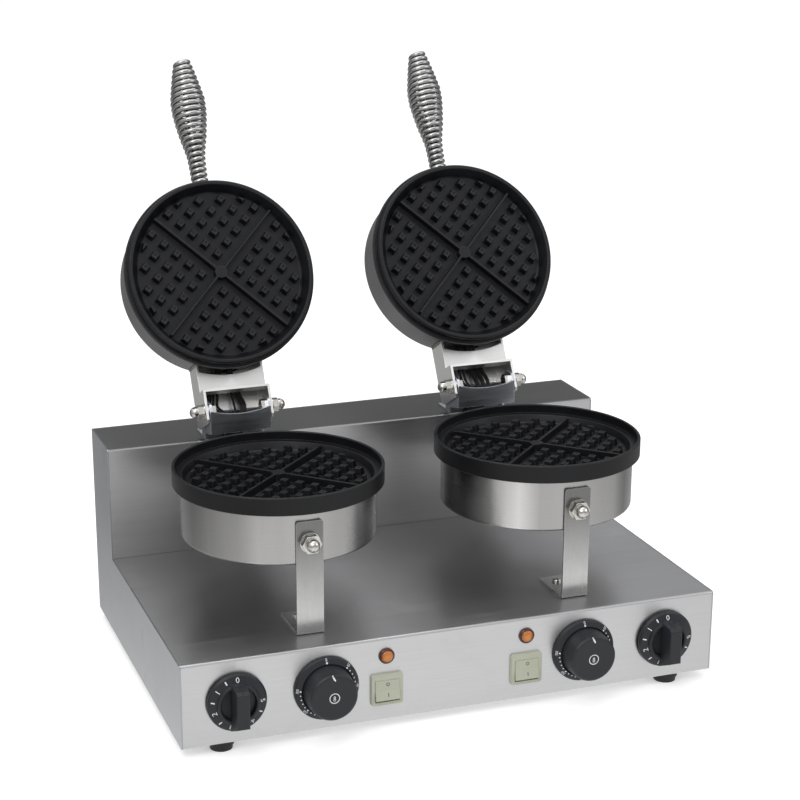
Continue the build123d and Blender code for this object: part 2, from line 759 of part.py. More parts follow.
def hinge_bracket(side):
    centre = side * UNIT_X
    with BuildPart() as bracket:
        for cheek_x in (-FIX_HALF, FIX_HALF - FIX_T):
            with BuildSketch(Plane.YZ.offset(centre + cheek_x)) as cheek:
                with BuildLine():
                    Polyline(*CHEEK, close=True)
                make_face()
                round_corner(cheek, EAR_TOP_FRONT, 7.0)
                round_corner(cheek, EAR_TOP_BACK, 7.0)
                with Locations((HINGE_Y, HINGE_Z)):
                    Circle(HINGE_BOLT_D / 2 + GAP, mode=Mode.SUBTRACT)
            extrude(amount=FIX_T)
        # Front plate with a shallow hollow along its top edge
        with BuildSketch(front_facing(FIX_FRONT_Y)):
            with Locations((centre, (FIX_LOW_Z + FIX_TOP_Z) / 2)):
                Rectangle(2 * FIX_HALF, FIX_TOP_Z - FIX_LOW_Z)
            with Locations((centre, FIX_TOP_Z - HOLLOW_DEPTH + HOLLOW_R)):
                Circle(HOLLOW_R, mode=Mode.SUBTRACT)
        extrude(amount=-FIX_T)
        # Rear wall
        with BuildSketch(front_facing(FIX_BACK_Y)):
            with Locations((centre, (TOP_Z + FIX_REAR_Z) / 2)):
                Rectangle(2 * FIX_HALF, FIX_REAR_Z - TOP_Z)
        extrude(amount=FIX_T)
        # Foot flange on the tower
        with BuildSketch(Plane.XY.offset(TOP_Z)):
            with Locations((centre, 124.0)):
                Rectangle(2 * FIX_HALF, 23.0)
            with Locations((centre, HINGE_SCREW_Y)):
                with GridLocations(2 * HINGE_SCREW_X, 1, 2, 1):
                    Circle(SCREW_HOLE_R, mode=Mode.SUBTRACT)
        extrude(amount=FIX_T)
    return bracket


# Lid bracket: n is the distance from the rim plane, y the distance from the lid's centre
LIDARM_HALF = 36.0
LIDARM_T = 2.5
LIDARM_ROOT = 80        # y inside the shell, trimmed away later
LIDARM_BACK_N = 60.0
LIDARM_WEB_N = 30.0
LIDARM_EAR_N = 15.0
LIDARM_STEP = 123.5
LIDARM_END = 156.0
LIDARM_WEB_END = 153
LIDARM_ARC_R = 104.5


def save_hinge_fasteners():
    """Hinge bolts, washers and cap nuts, and the screws of the fixed brackets."""
    bolts, washers, nuts, screws = [], [], [], []
    for side, _ in SIDES:
        for end in (-1, 1):
            def outward(distance):
                """Plane across the hinge axis, facing away from the bracket's middle."""
                return Plane(origin=(side * UNIT_X + end * distance, HINGE_Y, HINGE_Z),
                             x_dir=(0, 1, 0), z_dir=(end, 0, 0))
            bore = HINGE_BOLT_D + 2 * GAP
            bolts.append(hex_bolt(outward(FIX_HALF - FIX_T - 0.03), flats=13, head=5.3,
                                  diameter=HINGE_BOLT_D, length=17.0))
            washers.append(washer(outward(FIX_HALF + 0.03), 16, bore, 0.9))
            washers.append(washer(outward(LIDARM_HALF + 0.04), 16, bore, 1.4))
            nuts.append(acorn_nut(outward(LIDARM_HALF + 1.5), flats=13, hex_height=6.0,
                                  total=14.0, bore=HINGE_BOLT_D + THREAD_GAP, dome=12))
            seat = up_plane(side * UNIT_X + end * HINGE_SCREW_X, HINGE_SCREW_Y, TOP_Z + FIX_T)
            screws.append(cross_screw(seat, head_r=4.4, head=2.4, length=10.0, slot=4.6,
                                      slot_depth=1.2))
    save_group(bolts, "hinge_bolts")
    save_group(washers, "hinge_washers")
    save_group(nuts, "hinge_acorn_nuts")
    save_group(screws, "hinge_bracket_screws")


for side, side_name in SIDES:
    save(hinge_bracket(side), "hinge_bracket_" + side_name)
save_hinge_fasteners()

# ------------------------------------------------------------------ lids

SHELL_R = 97.5
LID_DEPTH = 62.0
LID_RAISE = 3       # height of the raised centre on the shell's back
HANDLE_N = 36.0
ROD_D = 8.0
ROD_START = 86
COIL_START = 104.0
COIL_END = 246.0
WIRE_D = 4.9
COIL_TURNS = 23
COIL_STEPS = COIL_TURNS * 16
# Barrel of the grip: (distance along it, outer radius); distances are fitted to its length
COIL_PROFILE = [(0, 9.3), (12, 9.3), (23, 9.5), (34, 10.2), (44, 12.2), (55, 14.7),
                (71, 17.3), (84, 18.9), (98, 18.9), (111, 16.5), (127, 13.2), (142, 9.4)]


def handle_plane(lid):
    """Plane on the lid's axis, facing along the handle, away from the hinge."""
    return Plane(origin=point_on(lid, 0, 0, HANDLE_N), x_dir=lid.x_dir, z_dir=-lid.y_dir)


def lid_shell(lid):
    """Spun cup that closes the lid's back, with a raised centre."""
    inner_r = SHELL_R - DRUM_T
    inner_n = LID_DEPTH - DRUM_T
    top_n = LID_DEPTH + LID_RAISE
    with BuildPart() as shell:
        with BuildSketch(radial_view(lid)) as profile:
            with BuildLine():
                Polyline((SHELL_R, FLANGE_N1), (SHELL_R, LID_DEPTH), (60, LID_DEPTH),
                         (56, top_n), (0, top_n), (0, top_n - DRUM_T), (55.2, top_n - DRUM_T),
                         (59.2, inner_n), (inner_r, inner_n), (inner_r, FLANGE_N1), close=True)
            make_face()
            round_corner(profile, (SHELL_R, LID_DEPTH), 4.0)
            round_corner(profile, (inner_r, inner_n), 2.5)
        revolve(axis=Axis(lid.origin, lid.z_dir))
        # Handle hole opposite the hinge
        with BuildSketch(handle_plane(lid)):
            Circle(ROD_D / 2 + GAP)
        extrude(amount=SHELL_R + 2, mode=Mode.SUBTRACT)
        # Lead hole on the hinge side
        with BuildSketch(Plane(origin=point_on(lid, 0, 0, 46.0), x_dir=lid.x_dir,
                               z_dir=lid.y_dir)):
            SlotOverall(26, 12)
        extrude(amount=SHELL_R + 2, mode=Mode.SUBTRACT)
    return shell


def lid_bracket(lid):
    """Folded channel on the hinge side of the lid, with two long ears."""
    step_in = LIDARM_STEP - LIDARM_T
    with BuildPart() as bracket:
        for ear_x in (-LIDARM_HALF, LIDARM_HALF - LIDARM_T):
            with BuildSketch(side_view(lid, ear_x)) as ear:
                with BuildLine():
                    Polyline((LIDARM_ROOT, LIDARM_WEB_N), (LIDARM_ROOT, LIDARM_BACK_N),
                             (LIDARM_END, LIDARM_BACK_N), (LIDARM_END, LIDARM_EAR_N),
                             (step_in, LIDARM_EAR_N), (step_in, LIDARM_WEB_N), close=True)
                make_face()
                round_corner(ear, (LIDARM_END, LIDARM_BACK_N), 9.0)
                round_corner(ear, (LIDARM_END, LIDARM_EAR_N), 4.0)
                with Locations((HINGE_Y - UNIT_Y, HINGE_Z - LID_Z)):
                    Circle(HINGE_BOLT_D / 2 + GAP, mode=Mode.SUBTRACT)
            extrude(amount=LIDARM_T)
        # Back web
        with BuildSketch(side_view(lid, -LIDARM_HALF)):
            with BuildLine():
                Polyline((LIDARM_ROOT, LIDARM_BACK_N), (LIDARM_WEB_END, LIDARM_BACK_N),
                         (LIDARM_WEB_END, LIDARM_BACK_N - LIDARM_T),
                         (LIDARM_ROOT, LIDARM_BACK_N - LIDARM_T), close=True)
            make_face()
        extrude(amount=2 * LIDARM_HALF)
        # Front web with its hollow edge clear of the lid
        with BuildSketch(lid.offset(LIDARM_WEB_N)):
            with Locations((0, (LIDARM_STEP + LIDARM_ROOT) / 2)):
                Rectangle(2 * LIDARM_HALF, LIDARM_STEP - LIDARM_ROOT)
            Circle(LIDARM_ARC_R, mode=Mode.SUBTRACT)
        extrude(amount=LIDARM_T)
        # Shelf between the narrow part and the ears
        with BuildSketch(side_view(lid, -LIDARM_HALF)):
            with BuildLine():
                Polyline((step_in, LIDARM_EAR_N), (LIDARM_STEP, LIDARM_EAR_N),
                         (LIDARM_STEP, LIDARM_WEB_N + LIDARM_T),
                         (step_in, LIDARM_WEB_N + LIDARM_T), close=True)
            make_face()
        extrude(amount=2 * LIDARM_HALF)
        # Trim to the curve of the shell
        with BuildSketch(lid):
            Circle(SHELL_R + 0.02)
        extrude(amount=90, mode=Mode.SUBTRACT)
    return bracket


def handle_rod(lid):
    """Rod with a collar outside the shell and a hexagon inside it."""
    along = handle_plane(lid)
    with BuildPart() as rod:
        with BuildSketch(along.offset(ROD_START)):
            Circle(ROD_D / 2)
        extrude(amount=COIL_END - ROD_START - 1.0)
        with BuildSketch(along.offset(SHELL_R + GAP)):
            Circle(9.0)
        extrude(amount=COIL_START - WIRE_D / 2 - SHELL_R - 0.15)
        with BuildSketch(along.offset(ROD_START + 3)):
            RegularPolygon(6.5, 6, major_radius=False)
        extrude(amount=5.5)
    return rod


def coil_radius(station):
    """Outer radius of the grip at a distance on the profile's own scale."""
    for (x0, r0), (x1, r1) in zip(COIL_PROFILE, COIL_PROFILE[1:]):
        if station <= x1 + 1e-9:
            return r0 + (r1 - r0) * (station - x0) / (x1 - x0)


def handle_coil(lid):
    """Barrel-wound wire grip around the rod."""
    along = handle_plane(lid)
    length = COIL_END - COIL_START - WIRE_D / 2
    points = []
    for k in range(COIL_STEPS + 1):
        share = k / COIL_STEPS
        radius = coil_radius(share * COIL_PROFILE[-1][0]) - WIRE_D / 2
        angle = 2 * math.pi * COIL_TURNS * share
        points.append(point_on(along, radius * math.cos(angle), radius * math.sin(angle),
                               COIL_START + share * length))
    with BuildPart() as coil:
        with BuildLine() as path:
            Spline(*points)
        with BuildSketch(Plane(origin=path.line @ 0, z_dir=path.line % 0)):
            Circle(WIRE_D / 2)
        sweep(path=path.line, is_frenet=True)
    return coil


for side, side_name in SIDES:
    lid = lid_plane(side)
    save(lid_shell(lid), "lid_shell_" + side_name)
    save(lid_bracket(lid), "lid_bracket_" + side_name)
    save(handle_rod(lid), "handle_rod_" + side_name)
    save(handle_coil(lid), "handle_coil_" + side_name)

# ------------------------------------------------------------------ controls

SHAFT_R = 3.0
SHAFT_OUT = 14.0
SHAFT_BORE = 15.0
TIMER_R = 29.0
DIAL_R = 32.0
CAP_R = 25.0
CAP_OUT = 26.0
BAR_OUT = 27.0
CAP_WELL_R = CAP_R + 0.4

# Turned outlines: (radius, distance out from the fascia)
SKIRT = [(0, 1.0), (TIMER_R - 0.6, 1.0), (TIMER_R, 1.8), (TIMER_R, 4.2), (TIMER_R - 1.4, 6.0),
         (21.2, 8.2), (20.6, 10.6), (19.8, 11.2), (18.0, 11.2), (17.2, 10.6), (16.6, 6.6),
         (0, 6.6)]
DIAL = [(5.4, 0.02), (DIAL_R - 0.6, 0.02), (DIAL_R, 0.8), (DIAL_R, 3.0), (DIAL_R - 1.0, 4.4),
        (CAP_WELL_R + 0.8, 6.6), (CAP_WELL_R, 6.0), (CAP_WELL_R, 1.6), (5.4, 1.6)]
CAP = [(0, 2.0), (CAP_R, 2.0), (CAP_R, 6.0), (CAP_R - 1.6, CAP_OUT - 2.0),
       (CAP_R - 3.0, CAP_OUT - 0.4), (CAP_R - 4.6, CAP_OUT), (0, CAP_OUT - 0.8)]
LAMP_BEZEL = [(0, -20), (5.95, -20), (5.95, 0.02), (7.8, 0.02), (7.8, 1.6), (7.0, 2.6),
              (6.0, 2.6), (6.0, 1.0), (0, 1.0)]
LENS = [(0, 1.02), (5.9, 1.02), (5.9, 2.8), (5.5, 3.3), (4.8, 3.9), (3.9, 4.4), (2.8, 4.8),
        (1.5, 5.1), (0, 5.2)]
# Side outline of the grip bar: (distance out from the fascia, height from the knob's centre)
BAR = [(4.6, -27.6), (7.0, -27.4), (BAR_OUT, -17.8), (BAR_OUT, 16.4), (BAR_OUT - 3.4, 18.8),
       (8.0, 20.2), (4.6, 20.2)]


def fascia_plane(x, z):
    return y_plane(x, FRONT_Y, z, -1)


def control_body(face, width, height, depth, drum=False):
    """Box behind the fascia with collar and shaft; drum adds a cylinder on its back."""
    with BuildPart() as body:
        with BuildSketch(face.offset(-SHEET - SEAT_GAP)):
            RectangleRounded(width, height, 3)
        extrude(amount=-depth)
        if drum:
            with BuildSketch(face.offset(-SHEET - depth)):
                Circle(21)
            extrude(amount=-14)
        with BuildSketch(face.offset(-SHEET - SEAT_GAP)):
            Circle(COLLAR_R)
        extrude(amount=SHEET + SEAT_GAP)
        with BuildSketch(face.offset(-SHEET)):
            Circle(SHAFT_R)
        extrude(amount=SHEET + SHAFT_OUT)
    return body


def grip_bar(x):
    """Tall bar whose lower end slopes out to the skirt and whose sides taper outwards."""
    root_y = FRONT_Y - 4.0
    tip_y = FRONT_Y - BAR_OUT - 1
    with BuildPart() as bar:
        with BuildSketch(Plane.YZ.offset(x)):
            with BuildLine():
                Polyline(*[(FRONT_Y - out, KNOB_Z + rise) for out, rise in BAR], close=True)
            make_face()
        extrude(amount=10.0, both=True)
        with BuildSketch(Plane.XY.offset(KNOB_Z - 32.0)):
            with BuildLine():
                Polyline((x - 7.6, root_y), (x - 6.0, tip_y), (x + 6.0, tip_y),
                         (x + 7.6, root_y), close=True)
            make_face()
        extrude(amount=60.0, mode=Mode.INTERSECT)
        fillet(bar.faces().sort_by(Axis.Y)[0].edges(), radius=1.5)
    return bar


def timer_knob(x):
    """Skirt, hub rim with a sunk face, and grip bar."""
    face = fascia_plane(x, KNOB_Z)
    bar = grip_bar(x)
    with BuildPart() as knob:
        with BuildSketch(radial_view(face)):
            with BuildLine():
                Polyline(*SKIRT, close=True)
            make_face()
        revolve(axis=Axis(face.origin, face.z_dir))
        add(bar.part)
        with BuildSketch(face):
            Circle(SHAFT_R + GAP)
        extrude(amount=SHAFT_BORE, mode=Mode.SUBTRACT)
    return knob


def thermostat_knob(face):
    """Turning cap with a notch at the top of its face."""
    with BuildPart() as cap:
        with BuildSketch(radial_view(face)):
            with BuildLine():
                Polyline(*CAP, close=True)
            make_face()
        revolve(axis=Axis(face.origin, face.z_dir))
        with BuildSketch(face):
            Circle(SHAFT_R + GAP)
        extrude(amount=SHAFT_BORE, mode=Mode.SUBTRACT)
        with BuildSketch(face.offset(CAP_OUT + 0.4)):
            with Locations((0, 20.4)):
                Rectangle(1.6, 6.4)
        extrude(amount=-1.6, mode=Mode.SUBTRACT)
    return cap


ROCKER_W = 24.5
ROCKER_H = 20.4
ROCKER_Z = 31.25
ROCKER_OUT = 7.2        # reach of the rocker's waist from its pivot
ROCKER_TILT = 8.0
PIN_R = 1.5
PIN_Y = FRONT_Y + 3.5


def switch_housing(x):
    """Bezel and box, with two stub pins that carry the rocker and three rear tabs."""
    face = fascia_plane(x, SWITCH_Z)
    with BuildPart() as housing:
        with BuildSketch(face.offset(SEAT_GAP)):
            RectangleRounded(33.0, 32.5, 3.4)
        extrude(amount=3.2, taper=10)
        with BuildSketch(face.offset(SEAT_GAP)):
            Rectangle(SWITCH_BOX_W, SWITCH_BOX_H)
        extrude(amount=-24.0)
        with BuildSketch(face.offset(4.0)):
            with Locations((0, ROCKER_Z - SWITCH_Z)):
                Rectangle(ROCKER_W + 0.5, ROCKER_H + 2.2)
        extrude(amount=-23.0, mode=Mode.SUBTRACT)
        for end in (-1, 1):
            with BuildSketch(Plane.YZ.offset(x + end * (ROCKER_W / 2 + 0.9))):
                with Locations((PIN_Y, ROCKER_Z)):
                    Circle(PIN_R)
            extrude(amount=-end * 2.6)
        with BuildSketch(face.offset(-22.0)):
            with Locations((0, 8), (0, 0), (0, -8)):
                Rectangle(6.3, 0.8)
        extrude(amount=-10.0)
    return housing


def switch_rocker(x):
    """Tilted rocker with a shallow V front and pin sockets in its ends."""
    tilt = math.radians(-ROCKER_TILT)
    end_plane = Plane(origin=(x - ROCKER_W / 2, PIN_Y, ROCKER_Z),
                      x_dir=(0, math.cos(tilt), math.sin(tilt)), z_dir=(1, 0, 0))
    half = ROCKER_H / 2
    tip = -ROCKER_OUT - math.tan(math.radians(ROCKER_TILT)) * half
    with BuildPart() as rocker:
        with BuildSketch(end_plane):
            with BuildLine():
                Polyline((3.0, -half), (3.0, half), (tip, half), (-ROCKER_OUT, 0),
                         (tip, -half), close=True)
            make_face()
            Circle(12.8, mode=Mode.INTERSECT)
        extrude(amount=ROCKER_W)
        for end in (-1, 1):
            with BuildSketch(Plane.YZ.offset(x + end * ROCKER_W / 2)):
                with Locations((PIN_Y, ROCKER_Z)):
                    Circle(PIN_R + GAP)
            extrude(amount=-end * 2.4, mode=Mode.SUBTRACT)
    return rocker


timers, thermostats, dials, bezels, lenses, housings = [], [], [], [], [], []
for side, side_name in SIDES:
    timer_face = fascia_plane(side * TIMER_X, KNOB_Z)
    thermo_face = fascia_plane(side * THERMO_X, KNOB_Z)
    lamp_face = fascia_plane(side * LAMP_X, LAMP_Z)
    timers.append(control_body(timer_face, width=52, height=52, depth=26, drum=True))
    thermostats.append(control_body(thermo_face, width=40, height=46, depth=32))
    dials.append(turned(thermo_face, DIAL))
    bezels.append(turned(lamp_face, LAMP_BEZEL))
    lenses.append(turned(lamp_face, LENS))
    housings.append(switch_housing(side * LAMP_X))
    save(timer_knob(side * TIMER_X), "timer_knob_" + side_name)
    save(thermostat_knob(thermo_face), "thermostat_knob_" + side_name)
    save(switch_rocker(side * LAMP_X), "switch_rocker_" + side_name)
save_group(timers, "timers")
save_group(thermostats, "thermostats")
save_group(dials, "thermostat_dials")
save_group(bezels, "pilot_lamp_bezels")
save_group(lenses, "pilot_lamp_lenses")
save_group(housings, "switch_housings")

# ------------------------------------------------------------------ wiring and mains entry

BLOCK_CENTRE = (150, 140)
BLOCK_PITCH = 10.5
BLOCK_BASE_H = 8
BLOCK_TOP_H = 9
CORD_R = 4.2
CORD_START_Y = REAR_Y - 20
CORD_END = (CORD_X - 150, REAR_Y + 60, 3.2)


def terminal_block():
    """Six-way block on the bottom plate, with two screw holes in each way."""
    floor = BASE_Z + SHEET
    with BuildPart() as block:
        with BuildSketch(Plane.XY.offset(floor + SEAT_GAP)):
            with Locations(BLOCK_CENTRE):
                RectangleRounded(66, 22, 2)
        extrude(amount=BLOCK_BASE_H)
        with BuildSketch(Plane.XY.offset(floor + BLOCK_BASE_H)):
            with Locations(BLOCK_CENTRE):
                with GridLocations(BLOCK_PITCH, 1, 6, 1):
                    Rectangle(8.5, 18)
        extrude(amount=BLOCK_TOP_H)
        with BuildSketch(Plane.XY.offset(floor + BLOCK_BASE_H + BLOCK_TOP_H)):
            with Locations(BLOCK_CENTRE):
                with GridLocations(BLOCK_PITCH, 10, 6, 2):
                    Circle(2.4)
        extrude(amount=-3, mode=Mode.SUBTRACT)
    return block


def cord_gland():
    """Hexagon flange and tapered nose outside the rear panel, sleeve inside."""
    face = y_plane(CORD_X, REAR_Y, CORD_Z, 1)
    hex_t = 6
    with BuildPart() as gland:
        with BuildSketch(face.offset(-SHEET - 8)):
            Circle(GLAND_R)
        extrude(amount=SHEET + 8)
        with BuildSketch(face):
            RegularPolygon(12.5, 6, major_radius=False)
        extrude(amount=hex_t)
        with BuildSketch(face.offset(hex_t)):
            Circle(10.5)
        extrude(amount=13, taper=12)
        with BuildSketch(face.offset(-SHEET - 9)):
            Circle(CORD_R + 0.1)
        extrude(amount=40, mode=Mode.SUBTRACT)
    return gland


def power_cord():
    """Cord that leaves the gland, drops behind the casing and runs to the left."""
    exit_point = (CORD_X, REAR_Y + 24, CORD_Z)
    with BuildPart() as cord:
        with BuildLine() as path:
            Line((CORD_X, CORD_START_Y, CORD_Z), exit_point)
            Spline(exit_point, (CORD_X - 4, REAR_Y + 52, 24), (CORD_X - 22, REAR_Y + 68, -1),
                   (CORD_X - 60, REAR_Y + 72, -4.6), (CORD_X - 110, REAR_Y + 64, -4.4),
                   CORD_END, tangents=((0, 1, 0), (-1, 0, 0)))
        with BuildSketch(y_plane(CORD_X, CORD_START_Y, CORD_Z, 1)):
            Circle(CORD_R)
        sweep(path=path.wire())
    return cord


def power_plug():
    """Flared neck, round body and two pins, pointing left from the cord's end."""
    end_x, end_y, end_z = CORD_END
    start = Plane(origin=(end_x - GAP, end_y, end_z), x_dir=(0, 1, 0), z_dir=(-1, 0, 0))
    body_start = 15
    body_length = 24
    with BuildPart() as plug:
        with BuildSketch(start):
            Circle(6.5)
        extrude(amount=16, taper=-10)
        with BuildSketch(start.offset(body_start)):
            Circle(12.5)
        extrude(amount=body_length)
        with BuildSketch(start.offset(body_start + body_length)):
            with Locations((-9.5, 0), (9.5, 0)):
                Circle(2.4)
        extrude(amount=19)
    return plug


def grommet(side, y, sheet_t):
    """Ring around the lead, in a sheet of the given thickness whose front face is at y."""
    front, back = -GAP, sheet_t + GAP
    return turned(y_plane(side * UNIT_X + LEAD_X, y, BOLT_Z, 1),
                  [(3.6, -1.4), (7.0, -1.4), (7.0, front), (GROMMET_NECK_R, front),
                   (GROMMET_NECK_R, back), (7.0, back), (7.0, sheet_t + 1.5),
                   (3.6, sheet_t + 1.5)])


def drum_lead(side):
    """Round lead from the drum through the arm into the tower."""
    with BuildPart() as lead:
        with BuildSketch(y_plane(side * UNIT_X + LEAD_X, 30.0, BOLT_Z, 1)):
            Circle(3.5)
        extrude(amount=88.0)
    return lead


def top_lead(side):
    """Flat lead rising through the slot in the tower's top."""
    with BuildPart() as lead:
        with BuildSketch(Plane.XY.offset(TOP_Z - 12)):
            with Locations((side * UNIT_X, TOP_LEAD_Y)):
                SlotOverall(22, 5)
        extrude(amount=30)
    return lead


save(terminal_block(), "terminal_block")
save(cord_gland(), "cord_gland")
save(power_cord(), "power_cord")
save(power_plug(), "power_plug")
grommets, leads = [], []
for side, _ in SIDES:
    grommets += [grommet(side, ARM_Y0, BRKT_T), grommet(side, TOWER_Y, SHEET)]
    leads += [drum_lead(side), top_lead(side)]
save_group(grommets, "lead_grommets")
save_group(leads, "heater_leads")
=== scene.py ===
# Twin hot-plate appliance: a steel casing carries two round drums with cast plates, each under
# a hinged lid with a coiled wire handle. Every unit has its own timer, thermostat, pilot lamp
# and rocker switch on the front. Metres; the front faces -Y, the left unit lies at -X, the lid
# hinges are at +Y and up is +Z.
import json
import math

import bmesh
import bpy
from mathutils import Matrix, Vector


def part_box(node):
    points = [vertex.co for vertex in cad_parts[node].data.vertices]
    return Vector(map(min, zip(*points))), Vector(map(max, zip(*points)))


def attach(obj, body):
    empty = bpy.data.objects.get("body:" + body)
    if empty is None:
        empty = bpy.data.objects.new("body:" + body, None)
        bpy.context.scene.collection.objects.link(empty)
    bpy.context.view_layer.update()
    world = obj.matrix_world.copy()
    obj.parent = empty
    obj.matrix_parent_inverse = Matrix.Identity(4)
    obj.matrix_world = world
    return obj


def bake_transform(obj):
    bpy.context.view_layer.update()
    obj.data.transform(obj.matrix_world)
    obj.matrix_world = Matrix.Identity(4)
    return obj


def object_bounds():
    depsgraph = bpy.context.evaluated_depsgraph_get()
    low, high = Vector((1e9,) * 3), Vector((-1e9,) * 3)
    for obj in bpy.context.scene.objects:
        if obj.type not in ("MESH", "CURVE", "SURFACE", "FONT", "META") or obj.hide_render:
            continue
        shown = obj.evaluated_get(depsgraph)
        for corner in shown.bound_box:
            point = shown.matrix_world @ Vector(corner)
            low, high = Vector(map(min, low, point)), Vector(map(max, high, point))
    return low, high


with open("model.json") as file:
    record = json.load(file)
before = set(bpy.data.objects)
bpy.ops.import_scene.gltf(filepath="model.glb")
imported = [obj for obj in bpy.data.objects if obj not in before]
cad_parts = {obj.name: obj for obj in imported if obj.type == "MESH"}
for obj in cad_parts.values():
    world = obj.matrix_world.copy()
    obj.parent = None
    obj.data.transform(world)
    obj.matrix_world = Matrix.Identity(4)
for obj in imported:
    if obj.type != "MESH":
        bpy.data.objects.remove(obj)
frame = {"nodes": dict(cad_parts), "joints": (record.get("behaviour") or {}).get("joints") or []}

CAD_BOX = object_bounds()
JOINTS = {joint["name"]: joint for joint in frame["joints"]}
SIDES = ("left", "right")

scene = bpy.context.scene
scene.view_settings.view_transform = "Standard"
scene.view_settings.look = "None"
scene.cycles.use_denoising = True
scene.cycles.max_bounces = 10
scene.cycles.glossy_bounces = 6
scene.cycles.sample_clamp_indirect = 6.0

# ---------------------------------------------------------------- places taken from the frame

LID_PLANE_Z = 0.2175  # height of the lid plane when the lid is shut
FACE_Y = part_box("deck_front_panel")[0].y


def unit_origin(side):
    """Axis of one unit, at z = 0."""
    low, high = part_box("lower_plate_" + side)
    middle = (low + high) / 2
    return Vector((middle.x, middle.y, 0.0))


UNIT = {side: unit_origin(side) for side in SIDES}


def joint_point(name):
    return Vector(JOINTS[name]["pos_m"])


def placed_axes(x_axis, y_axis, z_axis, origin):
    matrix = Matrix((x_axis, y_axis, z_axis)).transposed().to_4x4()
    matrix.translation = origin
    return matrix


def lid_matrix(side):
    """Open lid: local y runs to the hinge, local z to the lid's back."""
    hinge = joint_point("lid_hinge_" + side)
    swing = math.radians(max(abs(v) for v in JOINTS["lid_hinge_" + side]["range_deg"]))
    cos, sin = math.cos(swing), math.sin(swing)
    dy, dz = UNIT[side].y - hinge.y, LID_PLANE_Z - hinge.z
    origin = Vector((UNIT[side].x, hinge.y + dy * cos + dz * sin, hinge.z - dy * sin + dz * cos))
    x_axis = Vector((1, 0, 0))
    z_axis = Vector((0, sin, cos))
    return placed_axes(x_axis, z_axis.cross(x_axis), z_axis, origin)


LID = {side: lid_matrix(side) for side in SIDES}


def on_lid(side, x, y, back):
    return LID[side] @ Vector((x, y, back))


# ---------------------------------------------------------------- node graph helper

PRINCIPLED_INPUTS = {
    "color": "Base Color", "metallic": "Metallic", "rough": "Roughness", "normal": "Normal",
    "aniso": "Anisotropic", "tangent": "Tangent", "spec": "Specular IOR Level",
    "coat": "Coat Weight", "coat_rough": "Coat Roughness",
    "sss": "Subsurface Weight", "sss_radius": "Subsurface Radius", "sss_scale": "Subsurface Scale",
    "emit": "Emission Color", "emit_strength": "Emission Strength",
    "sheen": "Sheen Weight", "sheen_rough": "Sheen Roughness",
}


